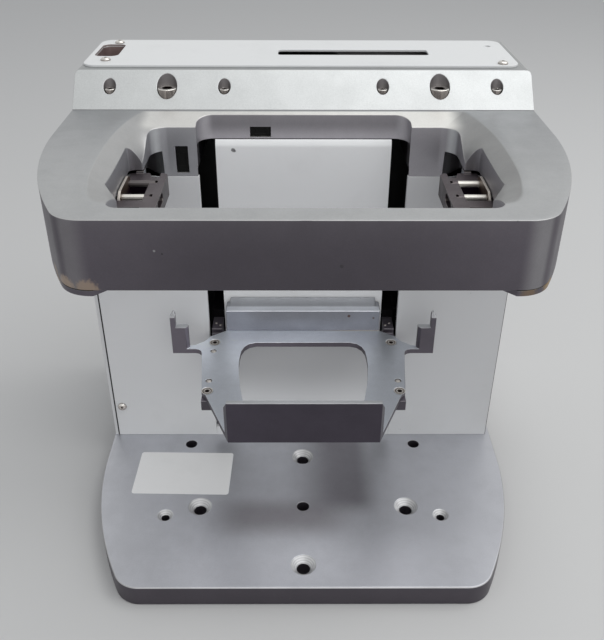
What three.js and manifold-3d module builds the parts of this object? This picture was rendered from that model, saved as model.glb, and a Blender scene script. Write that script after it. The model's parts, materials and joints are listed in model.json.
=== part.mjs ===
// Microplate stacker: a bench stand with a milled base, a hollow tower and a ring shaped head.
// A lift stage rises through the ring to hand microplates to two air driven gripper jaws.
// Millimetres. X is to the right, Y is back from the front panels, Z is up from the bench.

import * as THREE from 'three';
import { mergeVertices } from 'three/addons/utils/BufferGeometryUtils.js';
import Module from 'manifold-3d';

const wasm = await Module();
wasm.setup();

// Footprint shared by the base plate and the head ring
const halfWidth = 120.25;
const frontReach = 120.5;
const rearReach = 98;
const straightSideReach = 22;
const sideSweepRadius = 197;
const frontCornerRadius = 15;
const edgeBreak = 0.5;

// Heights of the main storeys
const baseThickness = 13;
const towerHeight = 175;
const headThickness = 30.5;
const bandHeight = 16.5;

// Clearances and cutter overrun
const runningGap = 0.3;
const seatGap = 0.25;
const overrun = 1;

// Base plate holes
const boltCircleX = 59;
const boltCircleY = 42.25;
const boltCentreY = -63.25;
const boltBoreRadius = 3.5;
const boltRimRadius = 6.75;
const dowelRowX = 78;
const dowelRowY = -70;
const dowelBoreRadius = 2.25;
const dowelRimRadius = 4.5;
const rearHoleX = 70;
const rearHoleY = -9.25;

// Tower skin
const panelThickness = 3;
const slotInnerX = 46.25;
const slotOuterX = 54.75;
const centrePanelSetback = 8.75;
const centrePanelThickness = 2;
const coverInset = 0.75;
const coverThickness = 2.25;
const coverCornerRadius = 5;
const columnThickness = 8;
const columnGap = 0.75;
const panelScrewInset = 3.75;
const panelScrewZ = 35.75;

// Head ring: opening, gripper pockets and lead-in
const openingHalfWidth = 78;
const openingFrontY = -109;
const openingRearRadius = 9;
const openingFrontRadius = 5;
const recessDepth = 11.25;
const recessRadius = 8;
const recessCeiling = 204.75;
const gripperSlotX = 84.75;
const gripperSlotRearY = -27;
const gripperSlotFrontY = -76;
const gripperSlotTipX = 77;
const gripperSlotTipY = -89;
const gripperSlotCorner = 3;
const gripperPocketInnerX = 72.5;
const gripperPocketOuterX = 106;
const gripperPocketRearY = 12;
const gripperPocketFrontY = -92;
const gripperPocketHeight = 14;
const wallStepHeight = 6;
const wallStepDepth = 0.5;
const leadInDip = 4;
const leadInSideDip = 14;
const leadInFrontDip = 1;
const leadInInset = 3;
const leadInRollShare = 0.42;
const leadInWallShare = 0.83;
const leadInFootShare = 1.08;
const leadInEdgeShares = [[1.135, 0.14], [1.172, 0.42], [1.158, 0.77], [1.082, 0.952], [0.95, 0.985]];
const leadInRingShares = [0, 0.35, 0.6, 0.8, 1];
const leadInFallShares = [0.04, 0.26];
const leadInRiseShares = [0.62, 0.95];

// Band, top block and top plate
const bandFootY = 15.25;
const blockCavityInset = 14.5;
const blockCavityFrontY = 38;
const blockCavityRearY = 88;
const blockEdgeRadius = 2.5;
const topPlateLeftInset = 2.25;
const topPlateRightInset = 4.75;
const topPlateFrontY = 36;
const topPlateRearY = 95;
const topPlateThickness = 1.25;
const topPlateRadius = 7;
const topSlotLeftX = -14;
const topSlotRightX = 70;
const topSlotY = 65.25;
const topSlotWidth = 12;
const topSlotRadius = 2;
const handHoleInset = 9;
const handHoleY = 69.75;
const handHoleWidth = 13;
const handHoleDepth = 28.5;
const handHoleRadius = 4;
const handHoleWell = 10;

// Socket screws of the band, the top plate and the front panel
const largeScrew = { bore: 5.25, head: 5, headHeight: 6, shank: 3, length: 16, socket: 2.9, socketDepth: 3 };
const smallScrew = {
  bore: 3.25,
  head: 2.75,
  headHeight: 3,
  shank: 1.5,
  length: 12,
  socket: 1.45,
  socketDepth: 1.6,
};
const panelScrew = { head: 2.75, headHeight: 1.5, shank: 1.5, length: 8, socket: 1.15, socketDepth: 0.9 };
const bandScrewInset = 18.75;
const bandScrewPitch = 30;
const bandScrewY = 25;
const bandSeatZ = 221.5;
const smallSeatRise = 2.5;
const plateScrewInset = 8.5;
const plateScrewPitch = 40.5;
const plateScrewLeftY = 46.5;
const plateScrewRightY = 40.5;

// Lift stage, at rest
const trayTop = 94;
const trayThickness = 3;
const trayRearY = 8.25;
const trayLipY = -98.5;
const lipHeight = 20.75;
const lipHalfWidth = 36.75;
const lipThickness = 2.5;
const wingLength = 4.75;
const wingDrop = 5.5;
const wingThickness = 2;
const barHalfWidth = 44.5;
const barFrontY = -2.75;
const barHeight = 13.25;
const barStepY = 2.25;
const ribHeight = 3;
const ribHalfWidth = 42.25;
const earFrontY = -22;
const earThickness = 4;
const neckFilletDepth = 4;
const neckReliefDepth = 9;
const neckCornerRadius = 4;
const earInnerX = 64;
const earOuterX = 73.5;
const earShelfHeight = 14;
const earHeight = 23;
const earEdgeChamfer = 1.5;
const prongWidth = 2.75;
const prongChamfer = 1.25;
const prongSlope = 2.5;
const windowHalfWidth = 35.25;
const windowRearY = -15.5;
const windowLength = 68.5;
const windowShares = [
  [0.76, 0],
  [0.865, 0.02],
  [0.94, 0.065],
  [0.985, 0.13],
  [1, 0.225],
  [1, 0.33],
  [0.98, 0.46],
  [0.947, 0.605],
  [0.888, 0.775],
  [0.825, 0.885],
  [0.735, 0.965],
  [0.62, 1],
];
const armCentreX = 50.25;
const armWidth = 6;
const armHeight = 6;
const armFrontY = -66;
const armStepY = -1;
const flatScrew = { head: 3, shank: 1.5, length: 7.5, socket: 1.25, socketDepth: 1.5 };
const stagePinRadius = 1.5;
const stagePinLength = 7;
const flatScrewRearY = -15.25;
const flatScrewFrontY = -61;
const stagePinRearY = -24;
const stagePinFrontY = -52;

// Lift drive inside the tower
const driveY = 60;
const guideRodX = 30;
const guideRodRadius = 5;
const leadScrewRadius = 5;
const bearingRadius = 9;
const bearingHeight = 5;
const carriageFrontY = 12.5;
const carriageRearY = 76;
const carriageHalfWidth = 54;
const carriageHeight = 14;
const liftPocketHalfWidth = 56.5;
const liftPocketRearY = 80;
const nutRadius = 8;
const nutFlangeRadius = 11;
const nutFlangeHeight = 3.5;
const motorHalfWidth = 21;
const motorHeight = 24;
const motorSeatZ = 208.5;
const motorCorner = 4;
const screwInMotor = 6;
const motorClearance = 0.5;

// Grippers
const jawInnerX = 66;
const jawWebX = 73.25;
const jawCheekX = 83;
const cheekOuterX = 84.25;
const jawOuterX = 87.5;
const jawShoulderInnerX = 77.75;
const jawShoulderOuterX = 81.25;
const jawShoulderLength = 5;
const jawShoulderGap = 0.5;
const jawRearY = -27;
const jawFrontY = -90;
const jawBottom = 190;
const jawHeight = 10.5;
const cheekRise = 3;
const cheekInset = 7;
const cheekLength = 27;
const cheekShares = [[0, 0], [0.04, 0.4], [0.16, 1], [0.84, 1], [0.96, 0.4], [1, 0]];
const jawWindowInset = 9.5;
const jawWindows = [{ inset: jawWindowInset, length: 23.75 }, { inset: 40.5, length: 15 }];
const jawNotchInnerX = 69.5;
const jawNotchBaseX = 73.25;
const jawNotchOuterX = 75;
const jawNotchDepth = 5.5;
const jawNotchDrop = 2;
const jawSlotInset = 20;
const jawSlotLength = 15;
const jawSlotRadius = 2.25;
const jawSlotDrop = 3.5;
const jawSlotDepth = 2.5;
const jawCornerChamfer = 2;
const guidePinRadius = 1.5;
const guidePinInnerX = 70.5;
const guidePinDrop = 1;
const guidePinInset = 1.75;
const guidePinPitch = 16.5;
const rodRadius = 2.5;
const rodReach = 12;
const cylinderInnerX = 88;
const cylinderOuterX = 105;
const cylinderRearY = -34;
const cylinderFrontY = -82;
const cylinderHeight = 13.5;
const gripperCoverThickness = 2.5;
const gripperCoverInnerX = 77.75;
const gripperCoverCut = 6;

// Sensors, board, valve and rear connections
const rackSensor = { x: -62.75, z: 197.25, width: 6.5, height: 14.5, depth: 6 };
const plateSensor = { x: -22.5, z: 208.25, width: 11, height: 5.5, depth: 5 };
const sensorSetback = 1;
const boardFrontY = 20;
const boardRearInset = 18;
const boardBottom = 40;
const boardHeight = 110;
const boardThickness = 1.5;
const chipSize = 16;
const chipHeight = 3;
const chipRows = 3;
const valveInset = 45.25;
const valveInletGap = 7;
const valveWidth = 30;
const valveDepth = 34;
const valveHeight = 22;
const solenoidWidth = 12;
const solenoidHeight = 18;
const inletInset = 42.25;
const inletZ = 40;
const inletWidth = 27;
const inletHeight = 20;
const inletDepth = 14;
const inletWall = 2.5;
const portX = 28;
const portWidth = 30;
const portHeight = 12;
const portWall = 1.25;
const fittingRadius = 6;
const fittingBore = 2;

// Facets on turned shapes
const arcSegments = 8;
const roundSegments = 24;
const screwSegments = 12;
const leadInRearSteps = 3;
const leadInSideSteps = 20;
const neckCornerSteps = 3;

// Levels and places worked out from the sizes above
const frontY = -frontReach;
const baseTop = baseThickness;
const headBottom = baseTop + towerHeight;
const headTop = headBottom + headThickness;
const blockTop = headTop + bandHeight;
const bandTopY = bandFootY + bandHeight;
const coverHalfWidth = halfWidth - coverInset;
const coverInnerX = coverHalfWidth - coverThickness;
const coverInnerY = rearReach - coverThickness;
const boardRearY = rearReach - boardRearInset;
const inletFrontY = rearReach - inletDepth;
const valveY = inletFrontY - valveInletGap - valveDepth / 2;
const trayBottom = trayTop - trayThickness;
const armBottom = trayBottom - armHeight;
const gripperPocketCeiling = headBottom + gripperPocketHeight;
const jawTop = jawBottom + jawHeight;
const jawMiddleY = (jawRearY + jawFrontY) / 2;
const rodZ = jawBottom + jawHeight / 2;
const guidePinZ = jawTop - guidePinDrop;
const guidePinRearY = jawRearY - jawWindowInset - guidePinInset;
const guidePinYs = [guidePinRearY, guidePinRearY - guidePinPitch];
const columnOuterX = coverInnerX - columnGap;
const panelScrewX = panelScrewInset - columnOuterX;
const topPlateLeftX = topPlateLeftInset - halfWidth;
const topPlateRightX = halfWidth - topPlateRightInset;
const blockCavityHalfWidth = topPlateRightX - blockCavityInset;
const handHoleX = topPlateLeftX + handHoleInset;
const plateScrewX = topPlateRightX - plateScrewInset;
const outerScrewX = halfWidth - bandScrewInset;
const largeScrewX = outerScrewX - bandScrewPitch;
const innerScrewX = largeScrewX - bandScrewPitch;
const smallScrewXs = [-outerScrewX, -innerScrewX, innerScrewX, outerScrewX];
const valveX = halfWidth - valveInset;
const inletX = halfWidth - inletInset;
const fittingX = -inletX;

// Finishes
const finish = (color, roughness, metalness) => ({ color, roughness, metalness });
const finishes = {
  anodised: finish(0xa9adb1, 0.45, 0.85),
  anodisedStage: finish(0x8f9299, 0.4, 0.85),
  panelWhite: finish(0xc9cccc, 0.5, 0.0),
  plateWhite: finish(0xe2e5e4, 0.35, 0.0),
  stainless: finish(0xcfcfca, 0.25, 1.0),
  toolSteel: finish(0x5a5150, 0.35, 0.9),
  bronze: finish(0x9a7740, 0.4, 0.9),
  blackPlastic: finish(0x16151a, 0.55, 0.0),
  boardGreen: finish(0x1e5a3a, 0.5, 0.0),
};

// Turns a closed geometry into a solid for joining and cutting
function solidOf(geometry) {
  const bare = geometry.clone();
  bare.deleteAttribute('normal');
  bare.deleteAttribute('uv');
  const merged = mergeVertices(bare);
  const vertProperties = new Float32Array(merged.attributes.position.array);
  const triVerts = new Uint32Array(merged.index.array);
  return new wasm.Manifold(new wasm.Mesh({ numProp: 3, vertProperties, triVerts }));
}

// Turns a solid back into a geometry with flat shaded faces
function geometryOf(solid) {
  const mesh = solid.getMesh();
  const geometry = new THREE.BufferGeometry();
  geometry.setAttribute('position', new THREE.BufferAttribute(mesh.vertProperties, mesh.numProp));
  geometry.setIndex(new THREE.BufferAttribute(mesh.triVerts, 1));
  geometry.computeVertexNormals();
  return geometry;
}

function joined(first, ...others) {
  return geometryOf(others.reduce((solid, other) => solid.add(solidOf(other)), solidOf(first)));
}

function cut(first, ...cutters) {
  return geometryOf(cutters.reduce((solid, cutter) => solid.subtract(solidOf(cutter)), solidOf(first)));
}

// A block between two corners
function block(x0, x1, y0, y1, z0, z1) {
  const geometry = new THREE.BoxGeometry(x1 - x0, y1 - y0, z1 - z0);
  return geometry.translate((x0 + x1) / 2, (y0 + y1) / 2, (z0 + z1) / 2);
}

// A plan shape raised from z0 to z1, with its two rims broken by a small chamfer if one is given
function prism(shape, z0, z1, chamfer = 0) {
  const geometry = new THREE.ExtrudeGeometry(shape, {
    depth: z1 - z0 - 2 * chamfer,
    curveSegments: arcSegments,
    bevelEnabled: chamfer > 0,
    bevelThickness: chamfer,
    bevelSize: chamfer,
    bevelOffset: -chamfer,
    bevelSegments: 1,
  });
  return geometry.translate(0, 0, z0 + chamfer);
}

// A side profile, drawn as Y and Z, carried along X
function sideProfile(points, x0, x1) {
  const shape = new THREE.Shape(points.map(([y, z]) => new THREE.Vector2(y, z)));
  const geometry = new THREE.ExtrudeGeometry(shape, { depth: x1 - x0, bevelEnabled: false });
  const toMachine = new THREE.Matrix4().makeBasis(
    new THREE.Vector3(0, 1, 0),
    new THREE.Vector3(0, 0, 1),
    new THREE.Vector3(1, 0, 0),
  );
  return geometry.applyMatrix4(toMachine).translate(x0, 0, 0);
}

// An upright turned piece from radius and height pairs
function turned(profile, segments = roundSegments) {
  const points = profile.map(([radius, height]) => new THREE.Vector2(radius, height));
  return new THREE.LatheGeometry(points, segments).rotateX(Math.PI / 2);
}

// An upright round bar from z0 to z1
function upright(radius, x, y, z0, z1, segments = roundSegments) {
  const geometry = new THREE.CylinderGeometry(radius, radius, z1 - z0, segments);
  return geometry.rotateX(Math.PI / 2).translate(x, y, (z0 + z1) / 2);
}

// A round bar along X from x0 to x1
function crosswise(radius, x0, x1, y, z, segments = screwSegments) {
  const geometry = new THREE.CylinderGeometry(radius, radius, x1 - x0, segments);
  return geometry.rotateZ(Math.PI / 2).translate((x0 + x1) / 2, y, z);
}

// The same piece on the other side of the machine
function mirrored(geometry) {
  const copy = mergeVertices(geometry.clone().deleteAttribute('normal').deleteAttribute('uv'));
  copy.scale(-1, 1, 1);
  const index = copy.index.array;
  for (let face = 0; face < index.length; face += 3) {
    [index[face], index[face + 1]] = [index[face + 1], index[face]];
  }
  copy.computeVertexNormals();
  return copy;
}

function roundedRectangle(x0, x1, y0, y1, radius) {
  const shape = new THREE.Shape();
  shape.moveTo(x0 + radius, y0);
  shape.lineTo(x1 - radius, y0);
  shape.absarc(x1 - radius, y0 + radius, radius, -Math.PI / 2, 0);
  shape.lineTo(x1, y1 - radius);
  shape.absarc(x1 - radius, y1 - radius, radius, 0, Math.PI / 2);
  shape.lineTo(x0 + radius, y1);
  shape.absarc(x0 + radius, y1 - radius, radius, Math.PI / 2, Math.PI);
  shape.lineTo(x0, y0 + radius);
  shape.absarc(x0 + radius, y0 + radius, radius, Math.PI, 1.5 * Math.PI);
  return shape;
}

// Footprint: straight sides, a long sweep inward and a tight corner into the straight front
function footprint() {
  const sweepX = halfWidth - sideSweepRadius;
  const cornerY = frontY + frontCornerRadius;
  const reach = sideSweepRadius - frontCornerRadius;
  const turn = Math.asin((-straightSideReach - cornerY) / reach);
  const cornerX = sweepX + reach * Math.cos(turn);
  const shape = new THREE.Shape();
  shape.moveTo(-halfWidth, rearReach);
  shape.lineTo(-halfWidth, -straightSideReach);
  shape.absarc(-sweepX, -straightSideReach, sideSweepRadius, Math.PI, Math.PI + turn);
  shape.absarc(-cornerX, cornerY, frontCornerRadius, Math.PI + turn, 1.5 * Math.PI);
  shape.absarc(cornerX, cornerY, frontCornerRadius, -Math.PI / 2, -turn);
  shape.absarc(sweepX, -straightSideReach, sideSweepRadius, -turn, 0);
  shape.lineTo(halfWidth, rearReach);
  return shape;
}

// A through bore with a right angled countersink in a plate whose top is at z1
function countersink(x, y, bore, rim, z0, z1) {
  const profile = [
    [0, z0 - overrun],
    [bore, z0 - overrun],
    [bore, z1 - (rim - bore)],
    [rim, z1],
    [rim, z1 + overrun],
    [0, z1 + overrun],
  ];
  return turned(profile, screwSegments * 2).translate(x, y, 0);
}

function basePlate() {
  const plate = prism(footprint(), 0, baseTop, edgeBreak);
  const through = [-overrun, baseTop + overrun];
  const bigHoles = [[boltCircleX, 0], [-boltCircleX, 0], [0, boltCircleY], [0, -boltCircleY]];
  const holes = [
    ...bigHoles.map(([x, y]) => {
      return countersink(x, boltCentreY + y, boltBoreRadius, boltRimRadius, 0, baseTop);
    }),
    ...[-dowelRowX, dowelRowX].map((x) => {
      return countersink(x, dowelRowY, dowelBoreRadius, dowelRimRadius, 0, baseTop);
    }),
    ...[-rearHoleX, rearHoleX].map((x) => upright(boltBoreRadius, x, rearHoleY, ...through)),
    upright(boltBoreRadius, 0, boltCentreY, ...through),
    upright(bearingRadius + runningGap, 0, driveY, baseTop - bearingHeight, baseTop + overrun),
  ];
  return cut(plate, ...holes);
}

// Outline of the head opening, without the gripper slots
function openingOutline() {
  const shape = new THREE.Shape();
  const rearX = openingHalfWidth - openingRearRadius;
  const frontX = openingHalfWidth - openingFrontRadius;
  shape.moveTo(-rearX, 0);
  shape.absarc(-rearX, -openingRearRadius, openingRearRadius, Math.PI / 2, Math.PI);
  shape.absarc(-frontX, openingFrontY + openingFrontRadius, openingFrontRadius, Math.PI, 1.5 * Math.PI);
  shape.absarc(frontX, openingFrontY + openingFrontRadius, openingFrontRadius, -Math.PI / 2, 0);
  shape.absarc(rearX, -openingRearRadius, openingRearRadius, 0, Math.PI / 2);
  return shape;
}

// Right half of the lead-in's outer edge on the top face, from the band's foot to the front
function leadInEdge() {
  const foot = new THREE.Vector3(openingHalfWidth * leadInFootShare, bandFootY, 0);
  const points = leadInEdgeShares.map(([across, back]) => {
    return new THREE.Vector3(openingHalfWidth * across, openingFrontY * back, 0);
  });
  return new THREE.CatmullRomCurve3([foot, ...points]);
}

// The dished lead-in above the opening, as the space that is cut away. Its rings run from the outer
// edge on the top face down to a path inside the opening, where the surface has left the metal
function leadIn() {
  const edge = leadInEdge();
  const rearX = openingHalfWidth - openingRearRadius;
  const insideX = openingHalfWidth - leadInInset;
  const insideFrontY = openingFrontY + leadInInset;
  const corner = openingRearRadius - leadInInset;
  const inside = new THREE.CurvePath();
  inside.add(new THREE.EllipseCurve(rearX, -openingRearRadius, corner, corner, Math.PI / 2, 0, true));
  inside.add(new THREE.LineCurve(
    new THREE.Vector2(insideX, -openingRearRadius),
    new THREE.Vector2(insideX, insideFrontY),
  ));
  const half = [];
  for (let k = 0; k < leadInRearSteps; k += 1) {
    const share = k / leadInRearSteps;
    half.push({ out: [edge.points[0].x * share, bandFootY], inn: [rearX * share, -leadInInset] });
  }
  for (let k = 0; k <= leadInSideSteps; k += 1) {
    const out = edge.getPointAt(k / leadInSideSteps);
    const inn = inside.getPointAt(k / leadInSideSteps);
    half.push({ out: [out.x, out.y], inn: [inn.x, inn.y] });
  }
  const frontMiddle = { out: [0, edge.points.at(-1).y], inn: [0, insideFrontY] };
  const left = half.slice(1).reverse().map(({ out, inn }) => {
    return { out: [-out[0], out[1]], inn: [-inn[0], inn[1]] };
  });
  const around = [...half, frontMiddle, ...left];
  const rings = [around.map(({ out }) => [out[0], out[1], headTop + overrun])];
  for (const share of leadInRingShares) {
    rings.push(around.map(({ out, inn }) => {
      const x = out[0] + (inn[0] - out[0]) * share;
      const y = out[1] + (inn[1] - out[1]) * share;
      return [x, y, headTop - dipAt(inn[1]) * dipProfile(share / leadInWallShare, inn[1])];
    }));
  }
  return stackedRings(rings, [0, openingFrontY / 2]);
}

// How far the lead-in falls where it meets the opening's wall, by the place from rear to front
function dipAt(y) {
  const back = y / openingFrontY;
  const fall = THREE.MathUtils.smoothstep(back, ...leadInFallShares);
  const rise = 1 - THREE.MathUtils.smoothstep(back, ...leadInRiseShares);
  return leadInFrontDip + (leadInDip - leadInFrontDip + (leadInSideDip - leadInDip) * fall) * rise;
}

// The lead-in is a plain slope behind the opening and rolls over at its sides
function dipProfile(share, y) {
  const roll = leadInRollShare * THREE.MathUtils.smoothstep(y / openingFrontY, ...leadInFallShares);
  return (1 - roll) * share + roll * share ** 4;
}

// Closes a stack of rings, listed from the top down, with fans to a middle point
function stackedRings(rings, [middleX, middleY]) {
  const count = rings[0].length;
  const positions = rings.flat(2);
  const faces = [];
  for (let ring = 0; ring + 1 < rings.length; ring += 1) {
    for (let k = 0; k < count; k += 1) {
      const a = ring * count + k;
      const b = ring * count + ((k + 1) % count);
      faces.push(a, b, a + count, b, b + count, a + count);
    }
  }
  const top = positions.length / 3;
  const lastRing = (rings.length - 1) * count;
  const lowest = Math.min(...rings.at(-1).map((point) => point[2]));
  positions.push(middleX, middleY, rings[0][0][2], middleX, middleY, lowest);
  for (let k = 0; k < count; k += 1) {
    const next = (k + 1) % count;
    faces.push(top, next, k);
    faces.push(top + 1, lastRing + k, lastRing + next);
  }
  const geometry = new THREE.BufferGeometry();
  geometry.setAttribute('position', new THREE.Float32BufferAttribute(positions, 3));
  geometry.setIndex(faces);
  return geometry;
}

// Slot beside the opening that a gripper jaw stands in
function gripperSlot() {
  const shape = new THREE.Shape([
    new THREE.Vector2(gripperSlotTipX, gripperSlotRearY),
    new THREE.Vector2(gripperSlotTipX, gripperSlotTipY),
    new THREE.Vector2(gripperSlotX, gripperSlotFrontY),
    new THREE.Vector2(gripperSlotX, gripperSlotRearY - gripperSlotCorner),
  ]);
  const cornerX = gripperSlotX - gripperSlotCorner;
  shape.absarc(cornerX, gripperSlotRearY - gripperSlotCorner, gripperSlotCorner, 0, Math.PI / 2);
  return prism(shape, headBottom - overrun, headTop + overrun);
}

function headRing() {
  const ring = prism(footprint(), headBottom, headTop, edgeBreak);
  const recess = roundedRectangle(
    -slotOuterX,
    slotOuterX,
    -2 * recessRadius,
    recessDepth,
    recessRadius,
  );
  const gripperPocket = block(
    gripperPocketInnerX,
    gripperPocketOuterX,
    gripperPocketFrontY,
    gripperPocketRearY,
    headBottom - overrun,
    gripperPocketCeiling,
  );
  const liftPocket = block(
    -liftPocketHalfWidth,
    liftPocketHalfWidth,
    centrePanelSetback - overrun,
    liftPocketRearY,
    headBottom - overrun,
    recessCeiling,
  );
  const armSlots = block(
    -slotOuterX,
    slotOuterX,
    -overrun,
    centrePanelSetback + overrun,
    headBottom - overrun,
    recessCeiling,
  );
  const motorPocket = motorHalfWidth + motorClearance;
  const motorSpace = block(
    -motorPocket,
    motorPocket,
    driveY - motorPocket,
    driveY + motorPocket,
    motorSeatZ,
    headTop + overrun,
  );
  const step = block(
    -gripperPocketInnerX,
    gripperPocketInnerX,
    -overrun,
    wallStepDepth,
    headBottom - overrun,
    headBottom + wallStepHeight,
  );
  const cutters = [
    prism(openingOutline(), headBottom - overrun, headTop + overrun),
    prism(recess, headBottom - overrun, headTop + overrun),
    gripperSlot(),
    mirrored(gripperSlot()),
    gripperPocket,
    mirrored(gripperPocket),
    liftPocket,
    armSlots,
    step,
    leadIn(),
    motorSpace,
    upright(leadScrewRadius + motorClearance, 0, driveY, recessCeiling - overrun, motorSeatZ + overrun),
    sensorPocket(rackSensor, 0),
    sensorPocket(plateSensor, recessDepth),
    ...bandScrewPlaces().map(({ x, screw, seat }) => {
      const low = seat - screw.length - overrun;
      return upright(screw.shank + seatGap, x, bandScrewY, low, headTop + overrun, screwSegments);
    }),
  ];
  return cut(ring, ...cutters);
}

function sensorPocket(sensor, wallY) {
  return block(
    sensor.x - sensor.width / 2,
    sensor.x + sensor.width / 2,
    wallY - overrun,
    wallY + sensor.depth,
    sensor.z - sensor.height / 2,
    sensor.z + sensor.height / 2,
  );
}

// A black sensor set back in its pocket, with a bevelled face
function sensorBlock(sensor, wallY) {
  const y = wallY + sensorSetback;
  const half = sensor.width / 2 - runningGap;
  const tall = sensor.height / 2 - runningGap;
  const body = block(
    sensor.x - half,
    sensor.x + half,
    y,
    wallY + sensor.depth - runningGap,
    sensor.z - tall,
    sensor.z + tall,
  );
  const lens = block(
    sensor.x - half / 2,
    sensor.x + half / 2,
    y - overrun,
    y + runningGap,
    sensor.z - tall / 2,
    sensor.z + tall / 2,
  );
  return cut(body, lens);
}

// Where the screws stand in the sloped band: two large ones and four small ones
function bandScrewPlaces() {
  const large = [-1, 1].map((side) => ({ x: side * largeScrewX, screw: largeScrew, seat: bandSeatZ }));
  const small = smallScrewXs.map((x) => ({ x, screw: smallScrew, seat: bandSeatZ + smallSeatRise }));
  return [...large, ...small];
}

function topBlock() {
  const profile = [
    [bandFootY, headTop],
    [rearReach, headTop],
    [rearReach, blockTop],
    [bandTopY, blockTop],
  ];
  const body = sideProfile(profile, -halfWidth, halfWidth);
  const cavity = block(
    -blockCavityHalfWidth,
    blockCavityHalfWidth,
    blockCavityFrontY,
    blockCavityRearY,
    headTop - overrun,
    blockTop + overrun,
  );
  const well = prism(handHoleOutline(), blockTop - handHoleWell, blockTop + overrun);
  const corner = new THREE.Shape([
    new THREE.Vector2(halfWidth + overrun, blockTop - blockEdgeRadius),
    new THREE.Vector2(halfWidth + overrun, blockTop + overrun),
    new THREE.Vector2(halfWidth - blockEdgeRadius, blockTop + overrun),
  ]);
  const [cornerX, cornerZ] = [halfWidth - blockEdgeRadius, blockTop - blockEdgeRadius];
  corner.absarc(cornerX, cornerZ, blockEdgeRadius, Math.PI / 2, 0, true);
  const edge = new THREE.ExtrudeGeometry(corner, {
    depth: rearReach,
    curveSegments: arcSegments / 2,
    bevelEnabled: false,
  });
  edge.rotateX(Math.PI / 2).translate(0, rearReach + overrun, 0);
  const screwHoles = bandScrewPlaces().flatMap(({ x, screw, seat }) => [
    upright(screw.bore, x, bandScrewY, seat, blockTop + overrun, screwSegments * 2),
    upright(screw.shank + seatGap, x, bandScrewY, headTop - overrun, seat + overrun, screwSegments),
  ]);
  const plateHoles = plateScrewPlaces().map(([x, y]) => {
    return upright(smallScrew.shank + seatGap, x, y, headTop + overrun, blockTop + overrun, screwSegments);
  });
  return cut(body, cavity, well, edge, mirrored(edge), ...screwHoles, ...plateHoles);
}

function handHoleOutline() {
  return roundedRectangle(
    handHoleX - handHoleWidth / 2,
    handHoleX + handHoleWidth / 2,
    handHoleY - handHoleDepth / 2,
    handHoleY + handHoleDepth / 2,
    handHoleRadius,
  );
}

// Holes for the top plate's screws; the last one, at the right rear, is left empty
function plateScrewPlaces() {
  return [
    [-plateScrewX, plateScrewLeftY],
    [-plateScrewX, plateScrewLeftY + plateScrewPitch],
    [plateScrewX, plateScrewRightY],
    [plateScrewX, plateScrewRightY + plateScrewPitch],
  ];
}

function topPlate() {
  const outline = roundedRectangle(
    topPlateLeftX,
    topPlateRightX,
    topPlateFrontY,
    topPlateRearY,
    topPlateRadius,
  );
  const slot = roundedRectangle(
    topSlotLeftX,
    topSlotRightX,
    topSlotY - topSlotWidth / 2,
    topSlotY + topSlotWidth / 2,
    topSlotRadius,
  );
  const z1 = blockTop + topPlateThickness;
  return cut(
    prism(outline, blockTop, z1),
    prism(slot, blockTop - overrun, z1 + overrun),
    prism(handHoleOutline(), blockTop - overrun, z1 + overrun),
    ...plateScrewPlaces().map(([x, y]) => {
      return upright(smallScrew.shank + seatGap, x, y, blockTop - overrun, z1 + overrun, screwSegments);
    }),
  );
}

// A socket screw whose head stands on the level of its own origin
function socketScrew({ head, headHeight, shank, length, socket, socketDepth }) {
  const profile = [
    [0, -length],
    [shank, -length],
    [shank, 0],
    [head, 0],
    [head, headHeight - edgeBreak / 2],
    [head - edgeBreak / 2, headHeight],
    [0, headHeight],
  ];
  const hexagon = new THREE.CylinderGeometry(socket, socket, 2 * socketDepth, 6).rotateX(Math.PI / 2);
  return cut(turned(profile, screwSegments), hexagon.translate(0, 0, headHeight));
}

// A flat headed screw whose head is flush with the level of its own origin
function flatHeadScrew({ head, shank, length, socket, socketDepth }) {
  const profile = [
    [0, -length],
    [shank, -length],
    [shank, -(head - shank)],
    [head, 0],
    [0, 0],
  ];
  const hexagon = new THREE.CylinderGeometry(socket, socket, 2 * socketDepth, 6).rotateX(Math.PI / 2);
  return cut(turned(profile, screwSegments), hexagon);
}

// Front panel between a stage slot and the edge of the rear cover
function sidePanel() {
  return block(slotOuterX, coverInnerX - seatGap, 0, panelThickness, baseTop, headBottom);
}

// The left panel and its column are drilled for the screw that holds the panel's outer edge
function panelScrewHole() {
  const end = panelScrew.length + overrun;
  const hole = upright(panelScrew.shank + seatGap, 0, 0, -overrun, end, screwSegments);
  return hole.rotateX(-Math.PI / 2).translate(panelScrewX, 0, panelScrewZ);
}

function centrePanel() {
  return block(
    -slotInnerX,
    slotInnerX,
    centrePanelSetback,
    centrePanelSetback + centrePanelThickness,
    baseTop,
    recessCeiling - seatGap,
  );
}

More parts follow.
